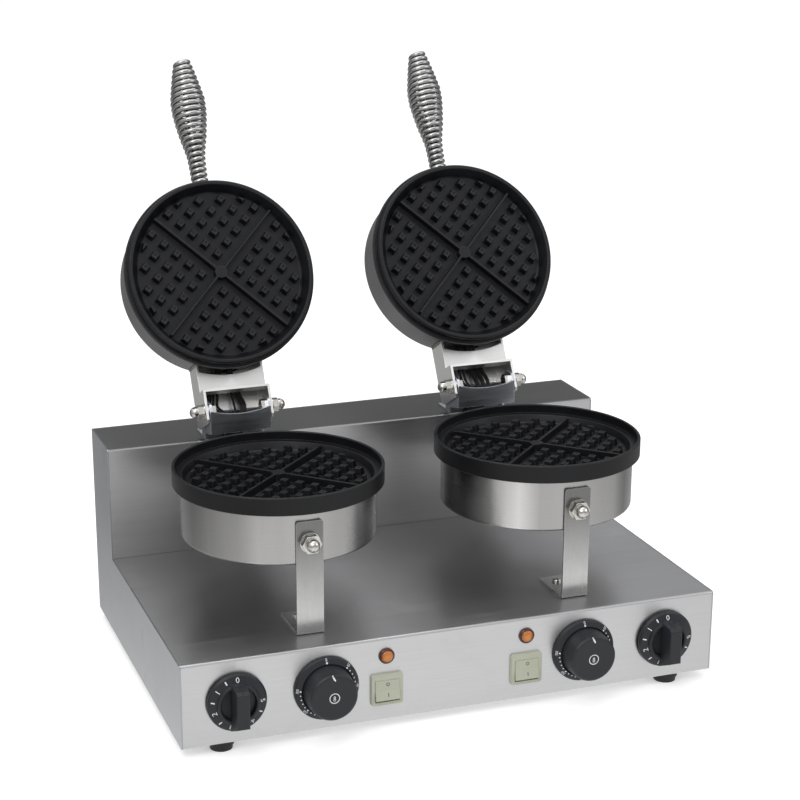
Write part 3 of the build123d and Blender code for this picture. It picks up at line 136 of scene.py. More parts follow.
class Graph:
    """Node tree of a material or world; a value may be a socket or a constant."""

    def __init__(self, owner, output="ShaderNodeOutputMaterial"):
        self.owner = owner
        owner.use_nodes = True
        self.tree = owner.node_tree
        self.tree.nodes.clear()
        self.output = self.node(output)

    def node(self, kind, **props):
        node = self.tree.nodes.new(kind)
        for key, value in props.items():
            setattr(node, key, value)
        return node

    def put(self, socket, value):
        if isinstance(value, bpy.types.NodeSocket):
            self.tree.links.new(value, socket)
        elif value is not None:
            socket.default_value = value

    def put_all(self, node, values):
        for socket, value in zip(node.inputs, values):
            self.put(socket, value)

    # numbers

    def math(self, operation, *values, clamp=False):
        node = self.node("ShaderNodeMath", operation=operation, use_clamp=clamp)
        self.put_all(node, values)
        return node.outputs[0]

    def add(self, *values, clamp=False):
        """Sum from left to right; only the last step is clamped."""
        total = values[0]
        for i, value in enumerate(values[1:], 2):
            total = self.math("ADD", total, value, clamp=clamp and i == len(values))
        return total

    def sub(self, a, b):
        return self.math("SUBTRACT", a, b)

    def mul(self, a, b, clamp=False):
        return self.math("MULTIPLY", a, b, clamp=clamp)

    def radius(self, x, y):
        return self.math("SQRT", self.add(self.mul(x, x), self.mul(y, y)))

    def swing(self, noise, by):
        """Noise centred on zero and scaled."""
        return self.mul(self.sub(noise, 0.5), by)

    def remap(self, value, source, to=(0.0, 1.0), smooth=False):
        node = self.node("ShaderNodeMapRange")
        if smooth:
            node.interpolation_type = "SMOOTHSTEP"
        self.put_all(node, (value, *source, *to))
        return node.outputs[0]

    # vectors and coordinates

    def vector(self, operation, a, b=None, scale=None):
        node = self.node("ShaderNodeVectorMath", operation=operation)
        self.put(node.inputs[0], a)
        self.put(node.inputs[1], b)
        self.put(node.inputs[3], scale)
        return node.outputs["Value" if operation == "DOT_PRODUCT" else "Vector"]

    def xyz(self, x, y, z):
        node = self.node("ShaderNodeCombineXYZ")
        self.put_all(node, (x, y, z))
        return node.outputs[0]

    def split(self, vector):
        node = self.node("ShaderNodeSeparateXYZ")
        self.put(node.inputs[0], vector)
        return node.outputs

    def coords(self, kind="Object"):
        return self.node("ShaderNodeTexCoord").outputs[kind]

    def local(self, matrix):
        """Object coordinates seen from a local frame."""
        offset = self.vector("SUBTRACT", self.coords(), matrix.translation[:])
        axes = [matrix.col[i].to_3d()[:] for i in range(3)]
        return self.xyz(*[self.vector("DOT_PRODUCT", offset, axis) for axis in axes])

    def to_world(self, vector):
        node = self.node("ShaderNodeVectorTransform", vector_type="VECTOR",
                         convert_from="OBJECT", convert_to="WORLD")
        self.put(node.inputs[0], vector)
        return node.outputs[0]

    def streaks(self, position, direction):
        """Returns a function giving coordinates squeezed along a direction."""
        axis = Vector(direction).normalized()[:]
        run = self.vector("DOT_PRODUCT", position, axis)
        off = self.vector("SUBTRACT", position, self.vector("SCALE", axis, scale=run))

        def squeezed(keep, across=None):
            side = off if across is None else self.vector("SCALE", off, scale=across)
            shift = self.vector("SCALE", axis, scale=self.mul(run, keep))
            return self.vector("ADD", side, shift)

        return squeezed

    # textures and colours

    def noise(self, vector, scale, detail=2.0, rough=0.5, distortion=0.0):
        node = self.node("ShaderNodeTexNoise")
        self.put(node.inputs["Vector"], vector)
        node.inputs["Scale"].default_value = scale
        node.inputs["Detail"].default_value = detail
        node.inputs["Roughness"].default_value = rough
        node.inputs["Distortion"].default_value = distortion
        return node.outputs["Fac"]

    def ramp(self, factor, stops):
        node = self.node("ShaderNodeValToRGB")
        elements = node.color_ramp.elements
        while len(elements) > 1:
            elements.remove(elements[-1])
        elements[0].position = stops[0][0]
        elements[0].color = (*stops[0][1], 1.0)
        for position, color in stops[1:]:
            elements.new(position).color = (*color, 1.0)
        self.put(node.inputs[0], factor)
        return node.outputs["Color"]

    def tinted(self, value, tint, clamp=False):
        return self.xyz(*[self.mul(value, channel, clamp=clamp) for channel in tint])

    # edges and relief

    def soft_edge(self, radius):
        node = self.node("ShaderNodeBevel", samples=4)
        node.inputs["Radius"].default_value = radius
        return node.outputs[0]

    def edge_mask(self, radius):
        """1 along convex and concave edges, 0 on flats."""
        rounded = self.soft_edge(radius)
        true_normal = self.node("ShaderNodeNewGeometry").outputs["Normal"]
        agreement = self.vector("DOT_PRODUCT", rounded, true_normal)
        return self.remap(self.sub(1.0, agreement), source=(0.002, 0.1))

    # painted highlight: lightens the colour along edges
    def painted_edge_highlight(self, value, radius, gain):
        return self.add(value, self.mul(self.edge_mask(radius), gain), clamp=True)

    def bump(self, height, strength, depth, edge=None):
        """Relief, laid over edges softened to the given radius."""
        node = self.node("ShaderNodeBump")
        self.put(node.inputs["Height"], height)
        node.inputs["Strength"].default_value = strength
        node.inputs["Distance"].default_value = depth
        if edge is not None:
            self.put(node.inputs["Normal"], self.soft_edge(edge))
        return node.outputs[0]

    # shaders

    def principled(self, **values):
        node = self.node("ShaderNodeBsdfPrincipled")
        for key, value in values.items():
            self.put(node.inputs[PRINCIPLED_INPUTS[key]], value)
        return node.outputs[0]

    def emission(self, strength):
        node = self.node("ShaderNodeEmission")
        self.put(node.inputs["Strength"], strength)
        return node.outputs[0]

    def mix_shader(self, factor, first, second):
        node = self.node("ShaderNodeMixShader")
        self.put_all(node, (factor, first, second))
        return node.outputs[0]

    def finish(self, shader):
        self.put(self.output.inputs["Surface"], shader)
        return self.owner

    def surface(self, **values):
        return self.finish(self.principled(**values))


def material_graph(name):
    return Graph(bpy.data.materials.new(name))


# ---------------------------------------------------------------- metals


def brushed_sheet(name, along, across, base, rough, tint=(1.0, 1.0, 1.01),
                  shift=(0.0, 0.0, 0.0), painted_top_shade=None):
    """Belt-brushed stainless sheet.

    along: brushing direction; across: direction the highlight spreads to;
    painted_top_shade: painted shade, the brightness left on faces that look up.
    """
    g = material_graph(name)
    p = g.coords()
    squeezed = g.streaks(p, along)
    lines = g.vector("ADD", squeezed(keep=0.012, across=1.0), shift)
    fine = g.noise(lines, scale=2600.0, detail=3.0, rough=0.65)
    mid = g.noise(lines, scale=520.0, detail=3.0, rough=0.6)
    broad = g.noise(squeezed(keep=0.15), scale=38.0, detail=3.0, rough=0.55)
    cloud = g.noise(p, scale=7.0, detail=3.0, rough=0.5)
    smear = g.noise(p, scale=16.0, detail=4.0, rough=0.65, distortion=1.2)
    value = g.add(g.swing(fine, by=0.10), g.swing(mid, by=0.08), g.swing(broad, by=0.025),
                  g.swing(cloud, by=0.03), base)
    # painted shade: faces that look up are made darker, the tower's top most of all
    if painted_top_shade is not None:
        facing_up = g.split(g.node("ShaderNodeNewGeometry").outputs["Normal"])[2]
        value = g.mul(value, g.remap(facing_up, source=(0.35, 0.9), to=(1.0, painted_top_shade)))
    # painted highlight along the edges
    value = g.painted_edge_highlight(value, radius=0.0012, gain=0.10)
    # the smears are faint handling marks
    roughness = g.add(rough, g.add(g.swing(mid, by=0.16), g.swing(cloud, by=0.10)),
                      g.remap(smear, source=(0.58, 0.72), to=(0.0, 0.05)), clamp=True)
    relief = g.add(fine, g.mul(mid, 1.5))
    return g.surface(color=g.tinted(value, tint), metallic=1.0, rough=roughness,
                     normal=g.bump(relief, strength=0.12, depth=0.0001, edge=0.0006),
                     aniso=0.7, tangent=g.to_world(Vector(across).normalized()[:]))


# Half the sideways direction the painted reflection bands on the drums are laid along (x, y), so
# they span a unit range.
REFLECTION_BAND_DIRECTION = (0.4778, -0.1473)


def spun_steel(name, matrix, base, tint=(1.0, 1.0, 1.0), reflection_bands=None):
    """Stainless cup spun and brushed round its axis, which is the matrix's local z."""
    g = material_graph(name)
    x, y, z = g.split(g.local(matrix))
    radius = g.radius(x, y)
    safe_radius = g.math("MAXIMUM", radius, 0.0005)
    turn_x = g.math("DIVIDE", x, safe_radius)
    turn_y = g.math("DIVIDE", y, safe_radius)
    level = g.add(z, radius)

    def round_axis(reach, height):
        """Noise coordinates on a circle whose radius sets how much changes round the cup."""
        return g.xyz(g.mul(turn_x, reach), g.mul(turn_y, reach), height)

    lines = round_axis(reach=0.0022, height=level)
    fine = g.noise(lines, scale=2600.0, detail=3.0, rough=0.65)
    mid = g.noise(lines, scale=620.0, detail=3.0, rough=0.6)
    slow = g.noise(round_axis(reach=1.6, height=g.mul(level, 3.0)), scale=1.6, detail=2.0)
    # painted reflection: broad upright light and dark bands round the cup
    reflection_band = g.noise(round_axis(reach=3.1, height=0.3), scale=1.0, detail=1.5, rough=0.45)
    value = g.add(g.swing(fine, by=0.045), g.swing(mid, by=0.04), g.swing(slow, by=0.08),
                  g.swing(reflection_band, by=0.12), base)
    # painted reflection and shade: broad upright bands, lighter and darker by the side of the drum
    # seen
    if reflection_bands:
        # the ramp holds half the brightness, doubled again after it
        side_on = g.add(g.mul(turn_x, REFLECTION_BAND_DIRECTION[0]), g.mul(turn_y, REFLECTION_BAND_DIRECTION[1]))
        stops = [((place + 1) / 2, (factor / 2,) * 3) for place, factor in reflection_bands]
        painted_reflection_tone = g.ramp(g.add(side_on, 0.5), stops)
        value = g.mul(value, g.mul(painted_reflection_tone, 2.0))
    # painted highlight along the edges
    value = g.painted_edge_highlight(value, radius=0.0012, gain=0.08)
    x_axis, y_axis, z_axis = [matrix.col[i].to_3d()[:] for i in range(3)]
    radial = g.vector("ADD", g.vector("SCALE", x_axis, scale=turn_x),
                      g.vector("SCALE", y_axis, scale=turn_y))
    return g.surface(color=g.tinted(value, tint), metallic=1.0,
                     rough=g.add(0.26, g.swing(mid, by=0.10), clamp=True),
                     normal=g.bump(g.add(fine, mid), strength=0.07, depth=0.0001, edge=0.0006),
                     aniso=0.75, tangent=g.to_world(g.vector("ADD", radial, z_axis)))


def satin_steel(name, along, base, rough=0.24, tint=(1.0, 0.995, 0.98), bump=0.10, darker_to_top=None):
    """Thick bracket stock: linished faces, edges painted lighter as a highlight, a few rub marks.

    darker_to_top: colour darkened towards the top, as (height where it starts, height where it is
    full, brightness left).
    """
    g = material_graph(name)
    p = g.coords()
    lines = g.streaks(p, along)(keep=0.03)
    fine = g.noise(lines, scale=2200.0, detail=3.0, rough=0.6)
    mid = g.noise(lines, scale=420.0, detail=2.0, rough=0.6)
    cloud = g.noise(p, scale=28.0, detail=4.0, rough=0.6, distortion=0.6)
    value = g.add(base, g.add(g.swing(fine, by=0.10), g.swing(cloud, by=0.12)))
    # colour darker towards the top
    if darker_to_top:
        start, full, left_over = darker_to_top
        height = g.split(p)[2]
        value = g.mul(value, g.remap(height, source=(start, full), to=(1.0, left_over)))
    # painted highlight along the edges
    value = g.painted_edge_highlight(value, radius=0.0014, gain=0.16)
    roughness = g.add(rough, g.add(g.swing(mid, by=0.14), g.swing(cloud, by=0.16)), clamp=True)
    return g.surface(color=g.tinted(value, tint), metallic=1.0, rough=roughness, aniso=0.3,
                     normal=g.bump(g.add(fine, mid), strength=bump, depth=0.0001, edge=0.0007))


def plated_metal(name, base=0.58, rough=0.20, tint=(1.0, 0.975, 0.92), wear=0.28):
    """Bright plating with tool marks and a cloudy film."""
    g = material_graph(name)
    p = g.coords()
    grain = g.noise(p, scale=1500.0, detail=3.0, rough=0.6)
    cloud = g.noise(p, scale=160.0, detail=3.0, rough=0.6, distortion=0.8)
    value = g.add(base, g.swing(cloud, by=wear))
    # painted highlight along the edges
    value = g.painted_edge_highlight(value, radius=0.0008, gain=0.12)
    roughness = g.add(rough, g.add(g.swing(cloud, by=0.18), g.swing(grain, by=0.08)), clamp=True)
    return g.surface(color=g.tinted(value, tint), metallic=1.0, rough=roughness,
                     normal=g.bump(grain, strength=0.10, depth=0.00008, edge=0.0004))


def drawn_wire(name):
    """Plated spring wire with a mottled grey film."""
    g = material_graph(name)
    grain = g.noise(g.coords(), scale=1300.0, detail=3.0, rough=0.6)
    cloud = g.noise(g.coords(), scale=120.0, detail=3.0, rough=0.6)
    value = g.add(0.44, g.add(g.swing(cloud, by=0.18), g.swing(grain, by=0.10)))
    return g.surface(color=g.tinted(value, tint=(1.0, 0.995, 0.985)), metallic=1.0,
                     rough=g.add(0.22, g.swing(cloud, by=0.22), clamp=True),
                     normal=g.bump(grain, strength=0.12, depth=0.0001))


def cast_plate(name, base):
    """Cast metal under a matt black coat: orange peel, tiny pits, high edges lighter, partly as
    rubbed coat and partly as painted highlight.
    """
    g = material_graph(name)
    p = g.coords()
    peel = g.noise(p, scale=620.0, detail=3.0, rough=0.55)
    grit = g.noise(p, scale=2400.0, detail=2.0, rough=0.6)
    cloud = g.noise(p, scale=22.0, detail=4.0, rough=0.6)
    cells = g.node("ShaderNodeTexVoronoi", feature="F1")
    g.put(cells.inputs["Vector"], p)
    cells.inputs["Scale"].default_value = 900.0
    pit = g.remap(cells.outputs["Distance"], source=(0.0, 0.16), to=(1.0, 0.0))
    patchy = g.remap(g.noise(p, scale=90.0, detail=3.0), source=(0.35, 0.7), to=(0.3, 1.0))
    # edges lighter in patches: partly rubbed coat, partly painted highlight
    rubbed_and_highlit_edges = g.mul(g.edge_mask(radius=0.0009), patchy)
    value = g.add(base, g.swing(cloud, by=0.008), g.swing(grit, by=0.010),
                  g.mul(rubbed_and_highlit_edges, 0.045), clamp=True)
    roughness = g.add(0.44, g.add(g.swing(cloud, by=0.16), g.swing(peel, by=0.14)), clamp=True)
    relief = g.sub(g.add(g.mul(peel, 1.0), g.mul(grit, 0.35)), g.mul(pit, 0.5))
    return g.surface(color=g.tinted(value, tint=(0.92, 0.97, 1.16)), metallic=0.0,
                     rough=roughness, spec=0.30,
                     normal=g.bump(relief, strength=0.22, depth=0.00018, edge=0.0008))


def weld_bead(name):
    """Rippled bead with straw and blue heat colours."""
    g = material_graph(name)
    p = g.coords()
    ripple = g.noise(p, scale=520.0, detail=3.0, rough=0.6)
    heat = g.noise(p, scale=70.0, detail=2.0, rough=0.5)
    color = g.ramp(g.add(g.mul(ripple, 0.5), g.mul(heat, 0.5)), [
        (0.3, (0.33, 0.31, 0.29)), (0.5, (0.52, 0.50, 0.46)),
        (0.62, (0.50, 0.46, 0.38)), (0.75, (0.40, 0.40, 0.43))])
    return g.surface(color=color, metallic=1.0,
                     rough=g.remap(ripple, source=(0.3, 0.7), to=(0.28, 0.5)),
                     normal=g.bump(ripple, strength=0.3, depth=0.0002))


def heater_alloy(name):
    """Heater metal, dull and mottled from heat."""
    g = material_graph(name)
    p = g.coords()
    mottle = g.noise(p, scale=90.0, detail=4.0, rough=0.65)
    grain = g.noise(p, scale=1400.0, detail=3.0, rough=0.6)
    color = g.ramp(mottle, [
        (0.3, (0.11, 0.10, 0.095)), (0.5, (0.20, 0.17, 0.14)),
        (0.62, (0.17, 0.15, 0.19)), (0.75, (0.27, 0.22, 0.16))])
    return g.surface(color=color, metallic=0.9,
                     rough=g.remap(mottle, source=(0.3, 0.7), to=(0.34, 0.6)),
                     normal=g.bump(grain, strength=0.2, depth=0.0001))


# ---------------------------------------------------------------- plastics, rubber, ink

FULL_TURN = 6.2832  # radians in one wave of the ring and weave patterns
LAMP_X, LAMP_Z = 0.0723, 0.0665  # pilot lamp axes lie at -LAMP_X and +LAMP_X
LENS_RING_PITCH = 0.0011
BRAID_PITCH = 0.0022  # length of sleeve in one unit of u
BRAID_STRANDS = 12.0  # strands round the sleeve in each direction


def moulded(name, color, rough, spec=0.5, edge_highlight_gain=0.35, variation=0.12, bump=0.15):
    """Moulded plastic with spark-eroded grain, slight flow marks and glossier edges, also painted
    lighter as a highlight.
    """
    g = material_graph(name)
    p = g.coords()
    grain = g.noise(p, scale=1400.0, detail=2.0, rough=0.5)
    flow = g.noise(p, scale=60.0, detail=3.0, rough=0.6, distortion=0.5)
    edge = g.edge_mask(radius=0.0007)
    # painted highlight: the edges are made lighter
    value = g.add(1.0, g.swing(flow, by=variation), g.swing(grain, by=variation * 0.8),
                  g.mul(edge, edge_highlight_gain))
    roughness = g.add(rough, g.add(g.swing(flow, by=0.14), g.mul(edge, -0.08)), clamp=True)
    return g.surface(color=g.tinted(value, color, clamp=True), rough=roughness, spec=spec,
                     normal=g.bump(grain, strength=bump, depth=0.00012, edge=0.0005))


def rubber(name, color, rough):
    """Dusty black rubber."""
    g = material_graph(name)
    p = g.coords()
    grain = g.noise(p, scale=900.0, detail=4.0, rough=0.65)
    dust = g.noise(p, scale=45.0, detail=4.0, rough=0.65)
    value = g.remap(dust, source=(0.35, 0.75), to=(0.8, 1.6))
    return g.surface(color=g.tinted(value, color), spec=0.35,
                     rough=g.add(rough, g.swing(dust, by=0.2), clamp=True),
                     normal=g.bump(grain, strength=0.25, depth=0.0002, edge=0.0006))


def lens_amber(name):
    """Amber lens: moulded rings over a warm core."""
    g = material_graph(name)
    p = g.coords()
    x, _, z = g.split(p)
    left, right = [g.radius(g.sub(x, lamp_x), g.sub(z, LAMP_Z)) for lamp_x in (-LAMP_X, LAMP_X)]
    radius = g.math("MINIMUM", left, right)
    wave = g.math("SINE", g.mul(radius, FULL_TURN / LENS_RING_PITCH))
    rings = g.mul(g.add(wave, 1.0), 0.5)
    core = g.remap(radius, source=(0.0, 0.0062), to=(1.0, 0.0))
    mottle = g.noise(p, scale=300.0, detail=3.0, rough=0.6)
    color = g.ramp(g.add(core, g.swing(mottle, by=0.35)), [
        (0.0, (0.34, 0.085, 0.009)), (0.45, (0.50, 0.16, 0.02)), (1.0, (0.54, 0.21, 0.025))])
    return g.surface(color=color, rough=g.remap(mottle, source=(0.3, 0.7), to=(0.18, 0.3)),
                     normal=g.bump(rings, strength=0.25, depth=0.0003, edge=0.0004),
                     spec=0.5, coat=0.4, coat_rough=0.08,
                     sss=0.25, sss_radius=(0.004, 0.0015, 0.0004), sss_scale=0.5,
                     emit=color, emit_strength=0.04)


def braid(name, color):
    """Woven glass sleeve over a heater lead."""
    g = material_graph(name)
    p = g.coords()
    along, around, _ = g.split(g.node("ShaderNodeUVMap", uv_map="UVMap").outputs[0])
    strands = [
        g.math("SINE", g.mul(g.math(crossing, g.mul(along, 1.0), g.mul(around, BRAID_STRANDS)),
                             FULL_TURN))
        for crossing in ("ADD", "SUBTRACT")]
    height = g.mul(g.math("MAXIMUM", *strands), 0.5)
    fuzz = g.noise(p, scale=1800.0, detail=3.0, rough=0.7)
    # painted shade: strands lighter on their crowns, darker between them
    value = g.add(g.remap(height, source=(-0.5, 0.5), to=(0.45, 1.7)), g.swing(fuzz, by=1.2))
    relief = g.add(height, g.mul(fuzz, 0.3))
    return g.surface(color=g.tinted(value, color, clamp=True), rough=0.7, spec=0.3,
                     normal=g.bump(relief, strength=0.5, depth=0.00025),
                     sheen=0.2, sheen_rough=0.5)


def ink(name, color):
    """Pad-printed ink with a slightly broken film."""
    g = material_graph(name)
    p = g.coords()
    breaks = g.noise(p, scale=2600.0, detail=3.0, rough=0.7)
    patches = g.noise(p, scale=500.0, detail=2.0, rough=0.6)
    value = g.add(g.remap(breaks, source=(0.3, 0.62), to=(0.72, 1.0)), g.swing(patches, by=0.12))
    return g.surface(color=g.tinted(value, color, clamp=True), spec=0.4,
                     rough=g.remap(patches, source=(0.3, 0.7), to=(0.4, 0.55)),
                     normal=g.bump(breaks, strength=0.15, depth=0.00005))


# ---------------------------------------------------------------- the set of materials

ACROSS_X, ACROSS_Y, UPRIGHT = (1, 0, 0), (0, 1, 0), (0, 0, 1)
SLOPE = (0, 1, 1)  # between backward and up, for folded sheets brushed along x
BLACK = (0.016, 0.017, 0.021)

# Painted reflection and shade: broad upright light and dark bands round each drum wall, as
# (place from the left flank at -1 to the right flank at 1, brightness factor).
DRUM_REFLECTION_BANDS = {
    "left": [(-1.0, 0.52), (-0.85, 0.50), (-0.70, 0.75), (-0.40, 0.78), (-0.20, 1.05),
             (0.0, 0.93), (0.56, 0.78), (0.72, 0.80), (0.86, 0.42), (1.0, 0.65)],
    "right": [(-1.0, 0.22), (-0.80, 0.22), (-0.66, 0.60), (-0.50, 1.12), (-0.29, 1.45),
              (-0.08, 0.82), (0.13, 0.86), (0.71, 0.84), (0.84, 0.38), (1.0, 0.68)],
}

MATERIALS = {
    "deck": brushed_sheet("deck_brushed_steel", along=ACROSS_X, across=SLOPE,
                          base=0.57, rough=0.33, painted_top_shade=0.80),
    "tower": brushed_sheet("tower_brushed_steel", along=ACROSS_X, across=SLOPE,
                           base=0.53, rough=0.33, shift=(0.3, 0.1, 0.2), painted_top_shade=0.27),
    "side": brushed_sheet("side_brushed_steel", along=ACROSS_Y, across=UPRIGHT,
                          base=0.39, rough=0.31, tint=(0.97, 0.995, 1.04)),
    "rear": brushed_sheet("rear_brushed_steel", along=ACROSS_X, across=UPRIGHT,
                          base=0.54, rough=0.28, shift=(0.7, 0.2, 0.4)),
    "inner": plated_metal("galvanised_inner_steel", base=0.42, rough=0.38,
                          tint=(0.98, 1.0, 1.02), wear=0.30),
    "fastener": plated_metal("bright_fastener_steel"),
    "bracket_upright": satin_steel("bracket_steel_upright", along=UPRIGHT, base=0.50,
                                   darker_to_top=(0.110, 0.185, 0.36)),
    "bracket_folded": satin_steel("bracket_steel_folded", along=ACROSS_X, base=0.66,
                                  rough=0.32, tint=(0.94, 0.98, 1.05)),
    "alloy": heater_alloy("heater_alloy"),
    "black": moulded("satin_black_plastic", BLACK, rough=0.44, spec=0.35),
    "black_skirt": moulded("satin_black_skirt", BLACK, rough=0.48, spec=0.35),
    "component": moulded("component_plastic", (0.09, 0.085, 0.075), rough=0.45),
    "cream": moulded("cream_plastic", (0.42, 0.43, 0.34), rough=0.36, edge_highlight_gain=0.10,
                     variation=0.05, bump=0.06),
    "lamp_body": moulded("brown_lamp_plastic", (0.05, 0.012, 0.003), rough=0.30, edge_highlight_gain=0.3),
    "lens": lens_amber("amber_lens"),
    "foot": rubber("foot_rubber", color=(0.02, 0.02, 0.021), rough=0.62),
    "cable": rubber("cable_rubber", color=(0.022, 0.022, 0.023), rough=0.5),
    "braid": braid("braided_glass_sleeve", color=(0.018, 0.017, 0.016)),
    "ink_white": ink("white_print", color=(0.80, 0.81, 0.82)),
    "ink_grey": ink("grey_print", color=(0.10, 0.10, 0.085)),
    "weld": weld_bead("weld_bead"),
}
for side in SIDES:
    MATERIALS.update({
        "drum_" + side: spun_steel("drum_brushed_steel_" + side,
                                   Matrix.Translation(UNIT[side]), base=0.46,
                                   tint=(1.0, 0.99, 0.975), reflection_bands=DRUM_REFLECTION_BANDS[side]),
        "shell_" + side: spun_steel("lid_shell_steel_" + side, LID[side], base=0.19),
        "wire_" + side: drawn_wire("handle_wire_" + side),
        "plate_low_" + side: cast_plate("cast_plate_lower_" + side, base=0.0045),
        "plate_up_" + side: cast_plate("cast_plate_upper_" + side, base=0.006),
        "lid_bracket_" + side: satin_steel("lid_bracket_steel_" + side, along=ACROSS_X,
                                           base=0.80, rough=0.37, bump=0.02),
    })

# CAD piece -> material
FINISH = {
    "deck_front_panel": "deck", "tower_cover": "tower",
    "side_panel_left": "side", "side_panel_right": "side",
    "rear_panel": "rear", "bottom_plate": "inner",
    "rubber_feet": "foot", "foot_screws": "fastener", "casing_screws": "fastener",
    "front_bracket_left": "bracket_upright", "front_bracket_right": "bracket_upright",
    "rear_brackets": "bracket_upright", "bracket_foot_screws": "fastener",
    "lower_heaters": "alloy", "lower_heater_clamps": "inner",
    "drum_bolts": "fastener", "drum_washers": "fastener", "drum_acorn_nuts": "fastener",
    "hinge_bolts": "fastener", "hinge_washers": "fastener", "hinge_acorn_nuts": "fastener",
    "hinge_bracket_screws": "fastener",
    "timers": "component", "thermostats": "component", "thermostat_dials": "black_skirt",
    "pilot_lamp_bezels": "lamp_body", "pilot_lamp_lenses": "lens", "switch_housings": "cream",
    "terminal_block": "component", "cord_gland": "black", "power_cord": "cable",
    "power_plug": "black", "lead_grommets": "cable", "heater_leads": "cable",
}
for side in SIDES:
    FINISH.update({
        "lower_drum_" + side: "drum_" + side, "lower_plate_" + side: "plate_low_" + side,
        "upper_plate_" + side: "plate_up_" + side, "lid_shell_" + side: "shell_" + side,
        "upper_heater_" + side: "alloy", "upper_heater_clamp_" + side: "inner",
        "hinge_bracket_" + side: "bracket_folded", "lid_bracket_" + side: "lid_bracket_" + side,
        "handle_rod_" + side: "wire_" + side, "handle_coil_" + side: "wire_" + side,
        "timer_knob_" + side: "black", "thermostat_knob_" + side: "black",
        "switch_rocker_" + side: "cream",
    })
for name, piece in frame["nodes"].items():
    piece.data.materials.clear()
    piece.data.materials.append(MATERIALS[FINISH[name]])
    for polygon in piece.data.polygons:
        polygon.material_index = 0

# ---------------------------------------------------------------- mesh helpers


def new_object(name, bm, material, smooth=True):
    mesh = bpy.data.meshes.new(name)
    bmesh.ops.recalc_face_normals(bm, faces=bm.faces)
    bm.to_mesh(mesh)
    bm.free()
    if smooth:
        for polygon in mesh.polygons:
            polygon.use_smooth = True
    mesh.materials.append(material)
    obj = bpy.data.objects.new(name, mesh)
    scene.collection.objects.link(obj)
    return obj


def catmull(points, steps):
    """Smooth curve through the points, with so many steps to each span."""
    full = [points[0] * 2 - points[1]] + points + [points[-1] * 2 - points[-2]]
    curve = []
    for i in range(1, len(full) - 2):
        p0, p1, p2, p3 = full[i - 1:i + 3]
        for k in range(steps):
            t = k / steps
            curve.append(0.5 * ((2 * p1) + (p2 - p0) * t
                                + (2 * p0 - 5 * p1 + 4 * p2 - p3) * t * t
                                + (3 * p1 - p0 - 3 * p2 + p3) * t ** 3))
    curve.append(full[-2].copy())
    return curve


def add_tube(bm, path, radii, segments):
    """Capped tube along a point list with a steady frame; u runs along it, v round it."""
    count = len(path)
    last_tangent = (path[1] - path[0]).normalized()
    reference = Vector((0, 0, 1)) if abs(last_tangent.z) < 0.9 else Vector((1, 0, 0))
    normal = last_tangent.cross(reference).normalized()
    rings, lengths, length = [], [], 0.0
    for i in range(count):
        tangent = (path[min(i + 1, count - 1)] - path[max(i - 1, 0)]).normalized()
        axis = last_tangent.cross(tangent)
        if axis.length > 1e-9:
            bend = Matrix.Rotation(last_tangent.angle(tangent), 3, axis.normalized())
            normal = (bend @ normal).normalized()
        normal = (normal - tangent * normal.dot(tangent)).normalized()
        binormal = tangent.cross(normal)
        angles = [2 * math.pi * k / segments for k in range(segments)]
        rings.append([
            bm.verts.new(path[i] + (normal * math.cos(a) + binormal * math.sin(a)) * radii[i])
            for a in angles])
        if i:
            length += (path[i] - path[i - 1]).length
        lengths.append(length)
        last_tangent = tangent
    uv_layer = bm.loops.layers.uv.get("UVMap") or bm.loops.layers.uv.new("UVMap")
    for i in range(count - 1):
        near, far = rings[i], rings[i + 1]
        for k in range(segments):
            after = (k + 1) % segments
            face = bm.faces.new((near[k], near[after], far[after], far[k]))
            us = (lengths[i], lengths[i], lengths[i + 1], lengths[i + 1])
            vs = (k / segments, (k + 1) / segments, (k + 1) / segments, k / segments)
            for loop, u, v in zip(face.loops, us, vs):
                loop[uv_layer].uv = (u / BRAID_PITCH, v)
    bm.faces.new(list(reversed(rings[0])))
    bm.faces.new(rings[-1])


# ---------------------------------------------------------------- lid leads in their sleeves

LEAD_SLOT_Y = 0.1085  # slot in the tower top where the leads come out
LEAD_HOLE_X = 0.0095  # half the width the leads may spread over in the shell's hole

# One row per lead, x measured from the unit's axis:
# (x in the tower slot, x at the bracket's hinge end, x near the shell, sleeve radius)
LEADS = {
    "left": [
        (-0.0085, -0.0245, -0.0210, 0.0014), (-0.0068, -0.0215, -0.0185, 0.0012),
        (-0.0050, -0.0180, -0.0160, 0.0012), (-0.0030, -0.0140, -0.0115, 0.0015),
        (0.0010, 0.0040, 0.0015, 0.0013), (0.0055, 0.0125, 0.0050, 0.0023),
        (0.0085, 0.0155, 0.0085, 0.0015)],
    "right": [
        (-0.0085, -0.0250, -0.0250, 0.0020), (-0.0060, -0.0110, -0.0150, 0.0014),
        (-0.0040, -0.0070, -0.0105, 0.0014), (0.0005, 0.0045, -0.0020, 0.0025),
        (0.0050, 0.0115, 0.0035, 0.0025), (0.0082, 0.0175, 0.0085, 0.0022)],
}


